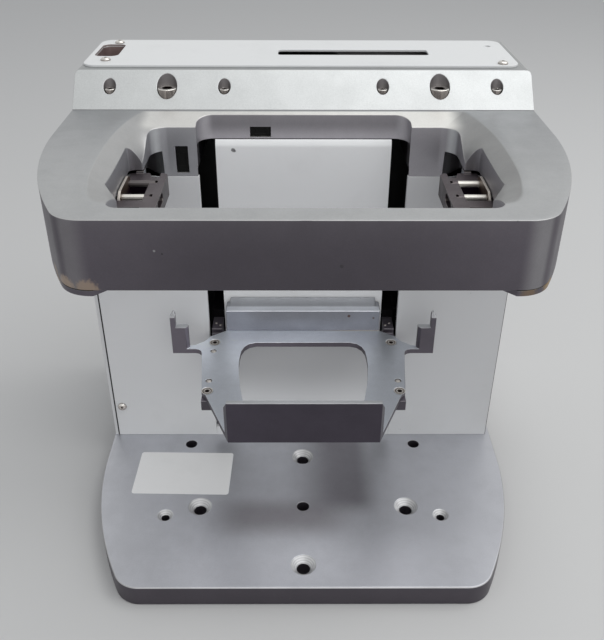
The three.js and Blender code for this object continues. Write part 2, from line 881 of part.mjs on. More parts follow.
// Folded sheet that closes both sides and the back of the tower
function rearCover() {
  const shape = new THREE.Shape();
  const inner = coverCornerRadius - coverThickness;
  const cornerX = coverHalfWidth - coverCornerRadius;
  const cornerY = rearReach - coverCornerRadius;
  shape.moveTo(coverHalfWidth, 0);
  shape.absarc(cornerX, cornerY, coverCornerRadius, 0, Math.PI / 2);
  shape.absarc(-cornerX, cornerY, coverCornerRadius, Math.PI / 2, Math.PI);
  shape.lineTo(-coverHalfWidth, 0);
  shape.lineTo(-coverInnerX, 0);
  shape.absarc(-cornerX, cornerY, inner, Math.PI, Math.PI / 2, true);
  shape.absarc(cornerX, cornerY, inner, Math.PI / 2, 0, true);
  shape.lineTo(coverInnerX, 0);
  const through = [coverInnerY - overrun, rearReach + overrun];
  const fittingHole = new THREE.CylinderGeometry(
    fittingRadius + runningGap,
    fittingRadius + runningGap,
    through[1] - through[0],
    screwSegments,
  );
  fittingHole.translate(fittingX, (through[0] + through[1]) / 2, inletZ);
  return cut(
    prism(shape, baseTop, headBottom),
    portCut(inletX, inletWidth, inletHeight, through),
    portCut(portX, portWidth, portHeight, through),
    fittingHole,
  );
}

function portCut(x, width, height, [y0, y1]) {
  const half = width / 2 + runningGap;
  const tall = height / 2 + runningGap;
  return block(x - half, x + half, y0, y1, inletZ - tall, inletZ + tall);
}

// A connector shell, open at the back, flush with the rear cover
function connector(x, width, height, wall) {
  const half = width / 2;
  const tall = height / 2;
  const shell = block(
    x - half,
    x + half,
    inletFrontY,
    rearReach,
    inletZ - tall,
    inletZ + tall,
  );
  const mouth = block(
    x - half + wall,
    x + half - wall,
    inletFrontY + wall,
    rearReach + overrun,
    inletZ - tall + wall,
    inletZ + tall - wall,
  );
  return cut(shell, mouth);
}

function airFitting() {
  const profile = [
    [0, 0],
    [fittingRadius, 0],
    [fittingRadius, inletDepth],
    [fittingBore, inletDepth],
    [fittingBore, inletDepth / 2],
    [0, inletDepth / 2],
  ];
  const body = new THREE.LatheGeometry(profile.map(([r, h]) => new THREE.Vector2(r, h)), screwSegments);
  return body.translate(fittingX, inletFrontY, inletZ);
}

// Upright plate behind each front panel that carries the head
function column() {
  return block(
    columnOuterX - columnThickness,
    columnOuterX,
    panelThickness,
    rearReach - coverCornerRadius,
    baseTop,
    headBottom,
  );
}

// Control board on the left column, with a row of packages
function controlBoard() {
  const face = -(columnOuterX - columnThickness) + runningGap;
  const front = face + boardThickness;
  const board = block(face, front, boardFrontY, boardRearY, boardBottom, boardBottom + boardHeight);
  const middle = (boardFrontY + boardRearY) / 2;
  const pitch = boardHeight / chipRows;
  const chips = Array.from({ length: chipRows }, (_, row) => {
    const z = boardBottom + (row + 0.5) * pitch;
    return block(
      front - boardThickness / 2,
      front + chipHeight,
      middle - chipSize / 2,
      middle + chipSize / 2,
      z - chipSize / 2,
      z + chipSize / 2,
    );
  });
  return joined(board, ...chips);
}

// Valve block on the base plate with two coils on top
function airValve() {
  const body = block(
    valveX - valveWidth / 2,
    valveX + valveWidth / 2,
    valveY - valveDepth / 2,
    valveY + valveDepth / 2,
    baseTop,
    baseTop + valveHeight,
  );
  const coils = [-1, 1].map((side) => {
    const y = valveY + side * (valveDepth / 4);
    return block(
      valveX - solenoidWidth / 2,
      valveX + solenoidWidth / 2,
      y - solenoidWidth / 2,
      y + solenoidWidth / 2,
      baseTop + valveHeight - overrun,
      baseTop + valveHeight + solenoidHeight,
    );
  });
  return joined(body, ...coils);
}

// Plate under each lobe of the ring that closes its gripper pocket from below
function gripperCover() {
  const slab = prism(footprint(), headBottom - gripperCoverThickness, headBottom);
  const low = headBottom - gripperCoverThickness - overrun;
  const high = headBottom + overrun;
  const behind = block(-2 * halfWidth, 2 * halfWidth, -runningGap, 2 * rearReach, low, high);
  const inside = block(-2 * halfWidth, gripperCoverInnerX, -2 * frontReach, overrun, low, high);
  const corner = new THREE.Shape([
    new THREE.Vector2(gripperCoverInnerX - overrun, frontY - overrun),
    new THREE.Vector2(gripperCoverInnerX + gripperCoverCut + overrun, frontY - overrun),
    new THREE.Vector2(gripperCoverInnerX - overrun, frontY + gripperCoverCut + overrun),
  ]);
  return cut(slab, behind, inside, prism(corner, low, high));
}

// Gripper jaw on the right: a slotted block with a tall outer cheek
function gripperJaw() {
  const inner = block(jawInnerX, cheekOuterX, jawFrontY, jawRearY, jawBottom, jawTop);
  const outer = block(jawCheekX, jawOuterX, jawFrontY, cylinderRearY, jawBottom, jawTop);
  const shoulder = block(
    jawShoulderInnerX,
    jawShoulderOuterX,
    jawRearY - overrun,
    jawRearY + jawShoulderLength,
    jawBottom,
    gripperPocketCeiling - jawShoulderGap,
  );
  const cheekRearY = jawRearY - cheekInset;
  const cheekLine = cheekShares.map(([along, up]) => {
    return [cheekRearY - along * cheekLength, jawTop + up * cheekRise];
  });
  const cheekFoot = [[cheekRearY - cheekLength, jawTop - overrun], [cheekRearY, jawTop - overrun]];
  const cheek = sideProfile([...cheekLine, ...cheekFoot], jawCheekX, cheekOuterX);
  const windows = jawWindows.map(({ inset, length }) => {
    const rear = jawRearY - inset;
    return block(jawWebX, jawCheekX, rear - length, rear, jawBottom - overrun, jawTop + overrun);
  });
  const slotY = jawRearY - jawSlotInset - jawSlotLength / 2;
  const slotHalf = jawSlotLength / 2 - jawSlotRadius;
  const slotZ = jawTop - jawSlotDrop;
  const slotRange = [jawInnerX - overrun, jawInnerX + jawSlotDepth];
  const slotMiddle = block(
    ...slotRange,
    slotY - slotHalf,
    slotY + slotHalf,
    slotZ - jawSlotRadius,
    slotZ + jawSlotRadius,
  );
  const slotEnds = [-slotHalf, slotHalf].map((y) => crosswise(jawSlotRadius, ...slotRange, slotY + y, slotZ));
  const notch = new THREE.Shape([
    new THREE.Vector2(jawNotchInnerX, jawRearY - jawNotchDepth),
    new THREE.Vector2(jawNotchBaseX, jawRearY - jawNotchDepth),
    new THREE.Vector2(jawNotchOuterX, jawRearY + overrun),
    new THREE.Vector2(jawNotchInnerX, jawRearY + overrun),
  ]);
  const corner = new THREE.Shape([
    new THREE.Vector2(jawInnerX - overrun, jawRearY - jawCornerChamfer - overrun),
    new THREE.Vector2(jawInnerX + jawCornerChamfer + overrun, jawRearY + overrun),
    new THREE.Vector2(jawInnerX - overrun, jawRearY + overrun),
  ]);
  const bores = guidePinYs.map((y) => {
    const radius = guidePinRadius + runningGap;
    return crosswise(radius, guidePinInnerX - overrun, jawOuterX + overrun, y, guidePinZ);
  });
  return cut(
    joined(inner, outer, shoulder, cheek),
    ...windows,
    slotMiddle,
    ...slotEnds,
    prism(notch, jawTop - jawNotchDrop, jawTop + overrun),
    prism(corner, jawBottom - overrun, jawTop + overrun),
    ...bores,
  );
}

function guidePin(y) {
  return crosswise(guidePinRadius, guidePinInnerX, cylinderInnerX, y, guidePinZ);
}

// Flat air cylinder in the ring's lobe, bored for the rod that pushes the jaw
function airCylinder() {
  const body = block(
    cylinderInnerX,
    cylinderOuterX,
    cylinderFrontY,
    cylinderRearY,
    headBottom,
    headBottom + cylinderHeight,
  );
  const bore = crosswise(
    rodRadius + runningGap,
    cylinderInnerX - overrun,
    jawOuterX + rodReach + overrun,
    jawMiddleY,
    rodZ,
  );
  return cut(body, bore);
}

function pistonRod() {
  return crosswise(rodRadius, jawOuterX, jawOuterX + rodReach, jawMiddleY, rodZ);
}

// Tray outline, right half from the rear, with the neck that carries the ear
function trayOutline() {
  const neckRearY = earFrontY + earThickness;
  const neckCorner = Array.from({ length: neckCornerSteps + 1 }, (_, step) => {
    const angle = (Math.PI / 2) * (1 + step / neckCornerSteps);
    return [
      armCentreX + armWidth + edgeBreak + neckCornerRadius * (1 + Math.cos(angle)),
      earFrontY + neckCornerRadius * (Math.sin(angle) - 1),
    ];
  });
  const half = [
    [barHalfWidth, trayRearY],
    [barHalfWidth, barFrontY],
    [armCentreX + armWidth / 2, neckRearY + neckReliefDepth],
    [armCentreX + armWidth, neckRearY + neckFilletDepth],
    [earInnerX - prongWidth, neckRearY],
    [earOuterX, earFrontY + earThickness / 2],
    [earOuterX, earFrontY],
    ...neckCorner,
    [armCentreX + armWidth / 2, flatScrewFrontY],
    [armCentreX, armFrontY],
    [lipHalfWidth, trayLipY],
  ];
  const left = [...half].reverse().map(([x, y]) => [-x, y]);
  return new THREE.Shape([...half, ...left].map(([x, y]) => new THREE.Vector2(x, y)));
}

// Upright ear at the end of the right neck: a low shelf inside and a tall prong outside
function trayEar() {
  const z = (height) => trayTop + height;
  const shape = new THREE.Shape([
    new THREE.Vector2(earInnerX, trayBottom),
    new THREE.Vector2(earOuterX, trayBottom),
    new THREE.Vector2(earOuterX, z(earHeight - 2 * prongChamfer)),
    new THREE.Vector2(earOuterX - prongChamfer, z(earHeight)),
    new THREE.Vector2(earOuterX - prongWidth + prongChamfer / 2, z(earHeight)),
    new THREE.Vector2(earOuterX - prongWidth, z(earHeight - prongChamfer)),
    new THREE.Vector2(earOuterX - prongWidth, z(earShelfHeight)),
    new THREE.Vector2(earInnerX, z(earShelfHeight)),
  ]);
  const plate = new THREE.ExtrudeGeometry(shape, { depth: earThickness, bevelEnabled: false });
  plate.rotateX(Math.PI / 2).translate(0, earFrontY + earThickness, 0);
  const edge = new THREE.Shape([
    new THREE.Vector2(earInnerX - overrun, earFrontY - overrun),
    new THREE.Vector2(earInnerX + earEdgeChamfer + overrun, earFrontY - overrun),
    new THREE.Vector2(earInnerX - overrun, earFrontY + earEdgeChamfer + overrun),
  ]);
  const slope = new THREE.Shape([
    new THREE.Vector2(earFrontY - overrun, z(earHeight - prongSlope - overrun)),
    new THREE.Vector2(earFrontY + prongSlope + overrun, z(earHeight + overrun)),
    new THREE.Vector2(earFrontY - overrun, z(earHeight + overrun)),
  ]);
  const across = new THREE.ExtrudeGeometry(slope, { depth: earOuterX, bevelEnabled: false });
  across.rotateX(Math.PI / 2).rotateZ(Math.PI / 2).translate(overrun, 0, 0);
  return cut(plate, prism(edge, trayTop, z(earHeight)), across);
}

// Short flange that follows the tray's slanted edge back from the end of the lip
function lipWing() {
  const run = [armCentreX - lipHalfWidth, armFrontY - trayLipY];
  const angle = Math.atan2(run[1], run[0]);
  const shape = new THREE.Shape([
    new THREE.Vector2(0, trayBottom),
    new THREE.Vector2(wingLength, trayBottom),
    new THREE.Vector2(wingLength, trayTop + lipHeight - wingDrop),
    new THREE.Vector2(0, trayTop + lipHeight),
  ]);
  const plate = new THREE.ExtrudeGeometry(shape, { depth: wingThickness, bevelEnabled: false });
  plate.rotateX(Math.PI / 2).translate(0, wingThickness, 0);
  return plate.rotateZ(angle).translate(lipHalfWidth, trayLipY, 0);
}

function stageTray() {
  const plate = prism(trayOutline(), trayBottom, trayTop);
  const lip = block(
    -lipHalfWidth,
    lipHalfWidth,
    trayLipY,
    trayLipY + lipThickness,
    trayBottom,
    trayTop + lipHeight,
  );
  const right = windowShares.map(([across, along]) => {
    return [windowHalfWidth * across, windowRearY - windowLength * along];
  });
  const left = [...right].reverse().map(([x, y]) => [-x, y]);
  const window = new THREE.Shape([...right, ...left].map(([x, y]) => new THREE.Vector2(x, y)));
  const screwCuts = flatScrewPlaces().map(([x, y]) => {
    return countersink(x, y, flatScrew.shank + seatGap, flatScrew.head + seatGap, trayBottom, trayTop);
  });
  const pinCuts = stagePinPlaces().map(([x, y]) => {
    return upright(stagePinRadius + seatGap, x, y, trayBottom - overrun, trayTop + overrun, screwSegments);
  });
  const whole = joined(plate, lip, trayEar(), mirrored(trayEar()), lipWing(), mirrored(lipWing()));
  return cut(whole, prism(window, trayBottom - overrun, trayTop + overrun), ...screwCuts, ...pinCuts);
}

function flatScrewPlaces() {
  return [-1, 1].flatMap((side) => [flatScrewRearY, flatScrewFrontY].map((y) => [side * armCentreX, y]));
}

function stagePinPlaces() {
  return [[-armCentreX, stagePinRearY], [-armCentreX, stagePinFrontY], [armCentreX, stagePinFrontY]];
}

// Bar behind the tray that a plate is pushed against, with a sloped rib along its top
function stageBar() {
  const low = [
    [barFrontY, trayTop],
    [trayRearY, trayTop],
    [trayRearY, trayTop + barHeight],
    [barFrontY, trayTop + barHeight],
  ];
  const rib = [
    [barStepY, trayTop + barHeight - overrun],
    [trayRearY, trayTop + barHeight - overrun],
    [trayRearY, trayTop + barHeight + ribHeight],
    [barStepY, trayTop + barHeight],
  ];
  return joined(
    sideProfile(low, -barHalfWidth, barHalfWidth),
    sideProfile(rib, -ribHalfWidth, ribHalfWidth),
  );
}

// Arm from the carriage through the tower slot and under the tray, level with its top behind it
function stageArm() {
  const half = armWidth / 2;
  const low = block(
    armCentreX - half,
    armCentreX + half,
    armFrontY,
    carriageFrontY,
    armBottom,
    trayBottom,
  );
  const raised = block(
    armCentreX - half,
    armCentreX + half,
    armStepY,
    carriageFrontY,
    trayBottom - overrun,
    trayTop,
  );
  const screwHoles = [flatScrewRearY, flatScrewFrontY].map((y) => {
    const low = trayTop - flatScrew.length - runningGap;
    return upright(flatScrew.shank + seatGap, armCentreX, y, low, trayBottom + overrun, screwSegments);
  });
  const pinHoles = [stagePinRearY, stagePinFrontY].map((y) => {
    const low = trayTop - stagePinLength - runningGap;
    return upright(stagePinRadius + seatGap, armCentreX, y, low, trayBottom + overrun, screwSegments);
  });
  return cut(joined(low, raised), ...screwHoles, ...pinHoles);
}

function carriage() {
  const body = block(
    -carriageHalfWidth,
    carriageHalfWidth,
    carriageFrontY,
    carriageRearY,
    armBottom,
    armBottom + carriageHeight,
  );
  const through = [armBottom - overrun, armBottom + carriageHeight + overrun];
  const rodBores = [-guideRodX, guideRodX].map((x) => {
    return upright(guideRodRadius + runningGap, x, driveY, ...through);
  });
  const nutBore = upright(nutRadius + seatGap, 0, driveY, ...through);
  return cut(body, ...rodBores, nutBore);
}

// Flanged nut, seated on the carriage
function leadNut() {
  const top = armBottom + carriageHeight;
  const bore = leadScrewRadius + runningGap;
  const profile = [
    [bore, armBottom],
    [nutRadius, armBottom],
    [nutRadius, top],
    [nutFlangeRadius, top],
    [nutFlangeRadius, top + nutFlangeHeight],
    [bore, top + nutFlangeHeight],
    [bore, armBottom],
  ];
  return turned(profile).translate(0, driveY, 0);
}

function bearing() {
  const bore = leadScrewRadius + runningGap;
  const profile = [
    [bore, baseTop - bearingHeight],
    [bearingRadius, baseTop - bearingHeight],
    [bearingRadius, baseTop],
    [bore, baseTop],
    [bore, baseTop - bearingHeight],
  ];
  return turned(profile).translate(0, driveY, 0);
}

// Flat stepping motor on top of the head, bored for the end of the lead screw
function stageMotor() {
  const half = motorHalfWidth;
  const c = motorCorner;
  const outline = [
    [-half + c, -half],
    [half - c, -half],
    [half, -half + c],
    [half, half - c],
    [half - c, half],
    [-half + c, half],
    [-half, half - c],
    [-half, -half + c],
  ];
  const shape = new THREE.Shape(outline.map(([x, y]) => new THREE.Vector2(x, driveY + y)));
  const bore = upright(
    leadScrewRadius + motorClearance,
    0,
    driveY,
    motorSeatZ - overrun,
    motorSeatZ + screwInMotor + motorClearance,
  );
  return cut(prism(shape, motorSeatZ, motorSeatZ + motorHeight), bore);
}

const stacker = new THREE.Group();
stacker.position.y = (frontReach - rearReach) / 2;

function add(name, geometry, look, x = 0, y = 0, z = 0) {
  const mesh = new THREE.Mesh(geometry, new THREE.MeshStandardMaterial(finishes[look]));
  mesh.name = name;
  mesh.position.set(x, y, z);
  stacker.add(mesh);
  return mesh;
}

// Stand: base, tower and head
add('base_plate', basePlate(), 'anodised');
add('left_front_panel', cut(mirrored(sidePanel()), panelScrewHole()), 'panelWhite');
add('right_front_panel', sidePanel(), 'panelWhite');
add('centre_front_panel', centrePanel(), 'panelWhite');
add('rear_cover', rearCover(), 'panelWhite');
add('left_column', cut(mirrored(column()), panelScrewHole()), 'anodised');
add('right_column', column(), 'anodised');
add('head_ring', headRing(), 'anodised');
add('top_block', topBlock(), 'anodised');
add('top_plate', topPlate(), 'plateWhite');
add('left_gripper_cover', mirrored(gripperCover()), 'anodised');
add('right_gripper_cover', gripperCover(), 'anodised');

// Screws in the band, the top plate and the left panel
bandScrewPlaces().forEach(({ x, screw, seat }, k) => {
  const name = ['left_head_bolt', 'right_head_bolt'][k] ?? `band_screw_${k - 1}`;
  add(name, socketScrew(screw), 'stainless', x, bandScrewY, seat);
});
plateScrewPlaces().slice(0, -1).forEach(([x, y], k) => {
  add(`top_plate_screw_${k + 1}`, socketScrew(panelScrew), 'stainless', x, y, blockTop + topPlateThickness);
});
const sideScrew = add('left_panel_screw', socketScrew(panelScrew), 'stainless');
sideScrew.position.set(panelScrewX, 0, panelScrewZ);
sideScrew.rotation.x = Math.PI / 2;

// Lift drive
add('lower_bearing', bearing(), 'stainless');
for (const [side, sign] of [['left', -1], ['right', 1]]) {
  const rod = upright(guideRodRadius, sign * guideRodX, driveY, baseTop, recessCeiling);
  add(`${side}_guide_rod`, rod, 'stainless');
}
const leadScrewFoot = baseTop - bearingHeight + runningGap;
const leadScrewBar = upright(leadScrewRadius, 0, driveY, leadScrewFoot, motorSeatZ + screwInMotor);
add('lead_screw', leadScrewBar, 'stainless');
add('stage_motor', stageMotor(), 'blackPlastic');
add('carriage', carriage(), 'anodised');
add('lead_nut', leadNut(), 'bronze');

// Lift stage
add('left_stage_arm', mirrored(stageArm()), 'anodisedStage');
add('right_stage_arm', stageArm(), 'anodisedStage');
add('stage_tray', stageTray(), 'anodisedStage');
add('stage_bar', stageBar(), 'anodisedStage');
flatScrewPlaces().forEach(([x, y], k) => {
  add(`tray_screw_${k + 1}`, flatHeadScrew(flatScrew), 'stainless', x, y, trayTop);
});
stagePinPlaces().forEach(([x, y], k) => {
  const pin = upright(stagePinRadius, 0, 0, -stagePinLength, 0, screwSegments);
  add(`tray_pin_${k + 1}`, pin, 'stainless', x, y, trayTop);
});

// Grippers
for (const [side, turn] of [['left', mirrored], ['right', (geometry) => geometry]]) {
  add(`${side}_jaw`, turn(gripperJaw()), 'toolSteel');
  add(`${side}_piston_rod`, turn(pistonRod()), 'stainless');
  add(`${side}_air_cylinder`, turn(airCylinder()), 'anodised');
  guidePinYs.forEach((y, k) => add(`${side}_guide_pin_${k + 1}`, turn(guidePin(y)), 'stainless'));
}

// Sensors, electrics and air supply
add('rack_sensor', sensorBlock(rackSensor, 0), 'blackPlastic');
add('plate_sensor', sensorBlock(plateSensor, recessDepth), 'blackPlastic');
add('control_board', controlBoard(), 'boardGreen');
add('air_valve', airValve(), 'anodised');
add('power_inlet', connector(inletX, inletWidth, inletHeight, inletWall), 'blackPlastic');
add('data_port', connector(portX, portWidth, portHeight, portWall), 'stainless');
add('air_fitting', airFitting(), 'stainless');

export default stacker;
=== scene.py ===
"""Microplate stacker: bench stand with a ring head, a lift stage on two arms and two gripper jaws.

The frame and the places in the shaders are in metres, and shapes are worked out in millimetres.
X is to the right, Y is to the back and Z is up from the bench. Object coordinates of every piece
are the machine's own at rest.
"""

import json
import math

import bmesh
import bpy
import numpy as np
from mathutils import Matrix, Vector

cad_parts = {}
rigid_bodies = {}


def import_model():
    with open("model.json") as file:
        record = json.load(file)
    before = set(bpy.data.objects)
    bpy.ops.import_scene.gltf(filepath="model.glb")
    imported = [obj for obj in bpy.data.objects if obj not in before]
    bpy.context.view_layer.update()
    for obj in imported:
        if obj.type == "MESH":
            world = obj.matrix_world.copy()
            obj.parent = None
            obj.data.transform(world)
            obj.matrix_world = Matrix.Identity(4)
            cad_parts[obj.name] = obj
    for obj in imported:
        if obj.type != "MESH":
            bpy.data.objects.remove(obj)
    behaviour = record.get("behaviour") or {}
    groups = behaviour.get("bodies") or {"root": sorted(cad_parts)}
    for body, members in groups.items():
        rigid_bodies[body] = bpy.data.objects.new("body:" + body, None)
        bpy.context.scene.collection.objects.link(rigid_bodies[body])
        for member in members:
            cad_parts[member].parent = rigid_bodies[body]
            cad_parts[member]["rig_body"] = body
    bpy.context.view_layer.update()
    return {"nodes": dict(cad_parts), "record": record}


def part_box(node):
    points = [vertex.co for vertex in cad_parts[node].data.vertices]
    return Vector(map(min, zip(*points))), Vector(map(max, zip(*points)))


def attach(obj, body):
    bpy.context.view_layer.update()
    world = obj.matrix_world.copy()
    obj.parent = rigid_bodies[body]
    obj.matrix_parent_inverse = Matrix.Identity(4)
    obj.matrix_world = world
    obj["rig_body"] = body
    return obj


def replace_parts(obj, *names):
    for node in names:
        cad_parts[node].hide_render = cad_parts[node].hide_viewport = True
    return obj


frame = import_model()
MM = 0.001

# Camera: stands in front of the machine and looks down on it, at the place that the machine's
# plate edges and bolt pattern give. The picture is 604 x 640 pixels.
def linked(name, data):
    """New object of some data, put in the scene."""
    made = bpy.data.objects.new(name, data)
    bpy.context.scene.collection.objects.link(made)
    return made


focal_pixels, long_side_pixels, sensor_width = 785.7, 640, 36.0
camera_place = Vector((-3.065, -378.0, 342.04)) * MM
pitch, yaw, roll = (math.radians(angle) for angle in (31.93, 0.3726, -0.2043))
forward = Vector((
    math.sin(yaw) * math.cos(pitch),
    math.cos(yaw) * math.cos(pitch),
    -math.sin(pitch),
))
level = Vector((math.cos(yaw), -math.sin(yaw), 0.0))
down = forward.cross(level)
camera_right = math.cos(roll) * level + math.sin(roll) * down
camera_down = -math.sin(roll) * level + math.cos(roll) * down
camera_data = bpy.data.cameras.new("camera")
camera_data.sensor_fit = "AUTO"
camera_data.sensor_width = sensor_width
camera_data.lens = focal_pixels * sensor_width / long_side_pixels
camera_data.clip_start = 0.01
camera = linked("camera", camera_data)
turn = Matrix((camera_right, -camera_down, -forward)).transposed()
camera.matrix_world = Matrix.Translation(camera_place) @ turn.to_4x4()
bpy.context.scene.camera = camera


# Floor and light: a pale matt floor and an even sky, a wide soft box overhead and to the right
# and a low one in front. The floor and the sky look paler directly and in gloss than they light.
def put(socket, value):
    """Links a socket to a value that is an output, or sets it to a value that is a constant."""
    if isinstance(value, bpy.types.NodeSocket):
        socket.id_data.links.new(value, socket)
    elif value is not None:
        socket.default_value = value


def maths(operation, first, second=None):
    """Output of one Math node on an output and perhaps a second value."""
    node = first.id_data.nodes.new("ShaderNodeMath")
    node.operation = operation
    put(node.inputs[0], first)
    put(node.inputs[1], second)
    return node.outputs[0]


def mixed(factor, first, second):
    """Colour between two colours, by an output from 0 to 1."""
    node = factor.id_data.nodes.new("ShaderNodeMix")
    node.data_type = "RGBA"
    for slot, value in ((0, factor), (6, first), (7, second)):
        put(node.inputs[slot], value)
    return node.outputs[2]


def seen_directly(tree):
    """One on a ray from the camera, a gloss or a glass, and zero on any other."""
    path = tree.nodes.new("ShaderNodeLightPath").outputs
    glossy = maths("MAXIMUM", path["Is Camera Ray"], path["Is Glossy Ray"])
    return maths("MAXIMUM", glossy, path["Is Transmission Ray"])


def soft_box(name, place, target, width, height, radiance):
    """Rectangular lamp whose face shines with the given radiance towards the target."""
    lamp = bpy.data.lights.new(name, "AREA")
    lamp.shape = "RECTANGLE"
    lamp.size, lamp.size_y = width, height
    lamp.energy = math.pi * width * height * radiance
    box = linked(name, lamp)
    aim = (Vector(target) - Vector(place)).to_track_quat("-Z", "Y").to_matrix().to_4x4()
    box.matrix_world = Matrix.Translation(place) @ aim


floor_mesh = bpy.data.meshes.new("floor")
floor_corners = [(-3, -3, 0), (3, -3, 0), (3, 3, 0), (-3, 3, 0)]
floor_mesh.from_pydata(floor_corners, [], [(0, 1, 2, 3)])
floor = linked("floor", floor_mesh)
floor_material = bpy.data.materials.new("floor")
floor_material.use_nodes = True
tree = floor_material.node_tree
body = tree.nodes["Principled BSDF"].inputs
floor_tone = mixed(seen_directly(tree), (0.33, 0.32, 0.33, 1.0), (0.62, 0.62, 0.61, 1.0))
put(body["Base Color"], floor_tone)
put(body["Roughness"], 0.9)
put(body["Specular IOR Level"], 0.1)
floor_mesh.materials.append(floor_material)

world = bpy.data.worlds.new("room")
bpy.context.scene.world = world
world.use_nodes = True
tree = world.node_tree
sky = mixed(seen_directly(tree), (0.50, 0.51, 0.53, 1.0), (0.70, 0.705, 0.70, 1.0))
put(tree.nodes["Background"].inputs["Color"], sky)
soft_box("overhead", (0.62, -0.05, 1.30), (0.05, 0.0, 0.15), width=1.2, height=1.7, radiance=1.7)
soft_box("front", (0.35, -1.7, 0.75), (0.0, 0.0, 0.1), width=1.8, height=0.9, radiance=1.1)


# Base plate: one milled aluminium plate, bead blasted and clear anodised. Its bolt and dowel
# holes are countersunk after anodising, so their cones are bright. It carries the tower's skin.
def coordinates(tree, kind="Object"):
    """Object coordinates as one output, or another kind such as Normal."""
    return tree.nodes.new("ShaderNodeTexCoord").outputs[kind]


def noise(tree, scale, detail=2.0, roughness=0.5, stretch=None):
    """Noise over Object coordinates, with a factor for each axis where a stretch is given."""
    place = coordinates(tree)
    if stretch:
        mapping = tree.nodes.new("ShaderNodeMapping")
        put(mapping.inputs["Vector"], place)
        put(mapping.inputs["Scale"], stretch)
        place = mapping.outputs[0]
    node = tree.nodes.new("ShaderNodeTexNoise")
    put(node.inputs["Vector"], place)
    put(node.inputs["Scale"], scale)
    put(node.inputs["Detail"], detail)
    put(node.inputs["Roughness"], roughness)
    return node.outputs["Fac"]


def sloped(value, low, high, to_low=0.0, to_high=1.0):
    """Turns an output's range low to high smoothly into the range to_low to to_high."""
    node = value.id_data.nodes.new("ShaderNodeMapRange")
    node.interpolation_type = "SMOOTHSTEP"
    for slot, number in enumerate((value, low, high, to_low, to_high)):
        put(node.inputs[slot], number)
    return node.outputs[0]


def masked(*masks):
    """Product of masks: one only where each of them is one."""
    product = masks[0]
    for mask in masks[1:]:
        product = maths("MULTIPLY", product, mask)
    return product


def within(value, low_end, low, high, high_end):
    """One from low to high, falling smoothly to zero at the two ends."""
    return masked(sloped(value, low_end, low), sloped(value, high_end, high))


def parted(vector):
    """An output's X, Y and Z as three outputs."""
    node = vector.id_data.nodes.new("ShaderNodeSeparateXYZ")
    put(node.inputs[0], vector)
    return node.outputs


def distance(first, second):
    """Distance between an output and a second place."""
    node = first.id_data.nodes.new("ShaderNodeVectorMath")
    node.operation = "DISTANCE"
    put(node.inputs[0], first)
    put(node.inputs[1], second)
    return node.outputs["Value"]


def relief(height, strength):
    """Normal of a surface with a fine height of at most a tenth of a millimetre."""
    node = height.id_data.nodes.new("ShaderNodeBump")
    put(node.inputs["Height"], height)
    put(node.inputs["Distance"], 0.1 * MM)
    put(node.inputs["Strength"], strength)
    return node.outputs[0]


def new_group(name, inputs, outputs):
    """A shader group. Inputs are (label, start value) and outputs are (label, kind)."""
    tree = bpy.data.node_groups.new(name, "ShaderNodeTree")
    for label, value in inputs:
        kind = {4: "Color", 3: "Vector", 0: "Float"}[len(value) if isinstance(value, tuple) else 0]
        socket = tree.interface.new_socket(label, in_out="INPUT", socket_type="NodeSocket" + kind)
        socket.default_value = value
    for label, kind in outputs:
        tree.interface.new_socket(label, in_out="OUTPUT", socket_type="NodeSocket" + kind)
    return tree, tree.nodes.new("NodeGroupInput").outputs, tree.nodes.new("NodeGroupOutput").inputs


def grey(value, tint=(1.0, 1.0, 1.0)):
    """Colour with its alpha: one value, tinted by three factors."""
    return (value * tint[0], value * tint[1], value * tint[2], 1.0)


surface_outputs = [("Colour", "Color"), ("Roughness", "Float"), ("Normal", "Vector")]
blasted, given, result = new_group(
    "blasted_metal",
    [
        ("Level", grey(0.4)),
        ("Standing", grey(0.1)),
        ("Edge", grey(0.6)),
        ("Edge Amount", 0.4),
        ("Roughness", 0.42),
        ("Cloud", 0.07),
        ("Grain", 0.14),
        ("Bump", 0.12),
    ],
    surface_outputs,
)
facing = parted(coordinates(blasted, "Normal"))
upward = maths("MAXIMUM", facing[2], 0.0)
# Lying faces get the Level colour and standing faces the darker Standing colour. The darkening of
# standing faces is painted shade, for the dark room that upright metal faces reflect.
base = mixed(sloped(upward, 0.05, 0.75), given["Standing"], given["Level"])
# Faces in between, mostly the bevels, get the Edge colour: partly bare metal where the anodising is thin,
# and partly a painted highlight.
edged = masked(within(upward, 0.2, 0.5, 0.8, 0.97), given["Edge Amount"])
base = mixed(edged, base, given["Edge"])
cloud = maths("ADD", noise(blasted, 14.0, 3.0, 0.6), noise(blasted, 80.0, 3.0, 0.6))
cloud = maths("MULTIPLY", sloped(cloud, 0.7, 1.3, -1.0, 1.0), given["Cloud"])
fine = noise(blasted, 1700.0, 1.0)
grain = maths("MULTIPLY", maths("SUBTRACT", fine, 0.5), given["Grain"])
gain = maths("ADD", maths("ADD", cloud, grain), 1.0)
shade = blasted.nodes.new("ShaderNodeVectorMath")
shade.operation = "SCALE"
put(shade.inputs[0], base)
put(shade.inputs["Scale"], gain)
scuff = sloped(noise(blasted, 260.0, 4.0, 0.75, (1.0, 0.3, 1.0)), 0.71, 0.77)
worn = mixed(maths("MULTIPLY", scuff, 0.2), shade.outputs[0], grey(0.6))
put(result["Colour"], worn)
polish = maths("MULTIPLY", cloud, 0.6)
put(result["Roughness"], maths("SUBTRACT", given["Roughness"], polish))
put(result["Normal"], relief(fine, given["Bump"]))

spot_group, given, result = new_group(
    "spot", [("Place", (0.0, 0.0, 0.0)), ("Size", 0.002), ("Raggedness", 0.6)], [("Mask", "Float")]
)
ragged = maths("SUBTRACT", noise(spot_group, 900.0, 3.0), 0.5)
ragged = maths("MULTIPLY", ragged, given["Raggedness"])
reach = maths("DIVIDE", distance(coordinates(spot_group), given["Place"]), given["Size"])
put(result["Mask"], sloped(maths("ADD", reach, ragged), 1.0, 0.55))


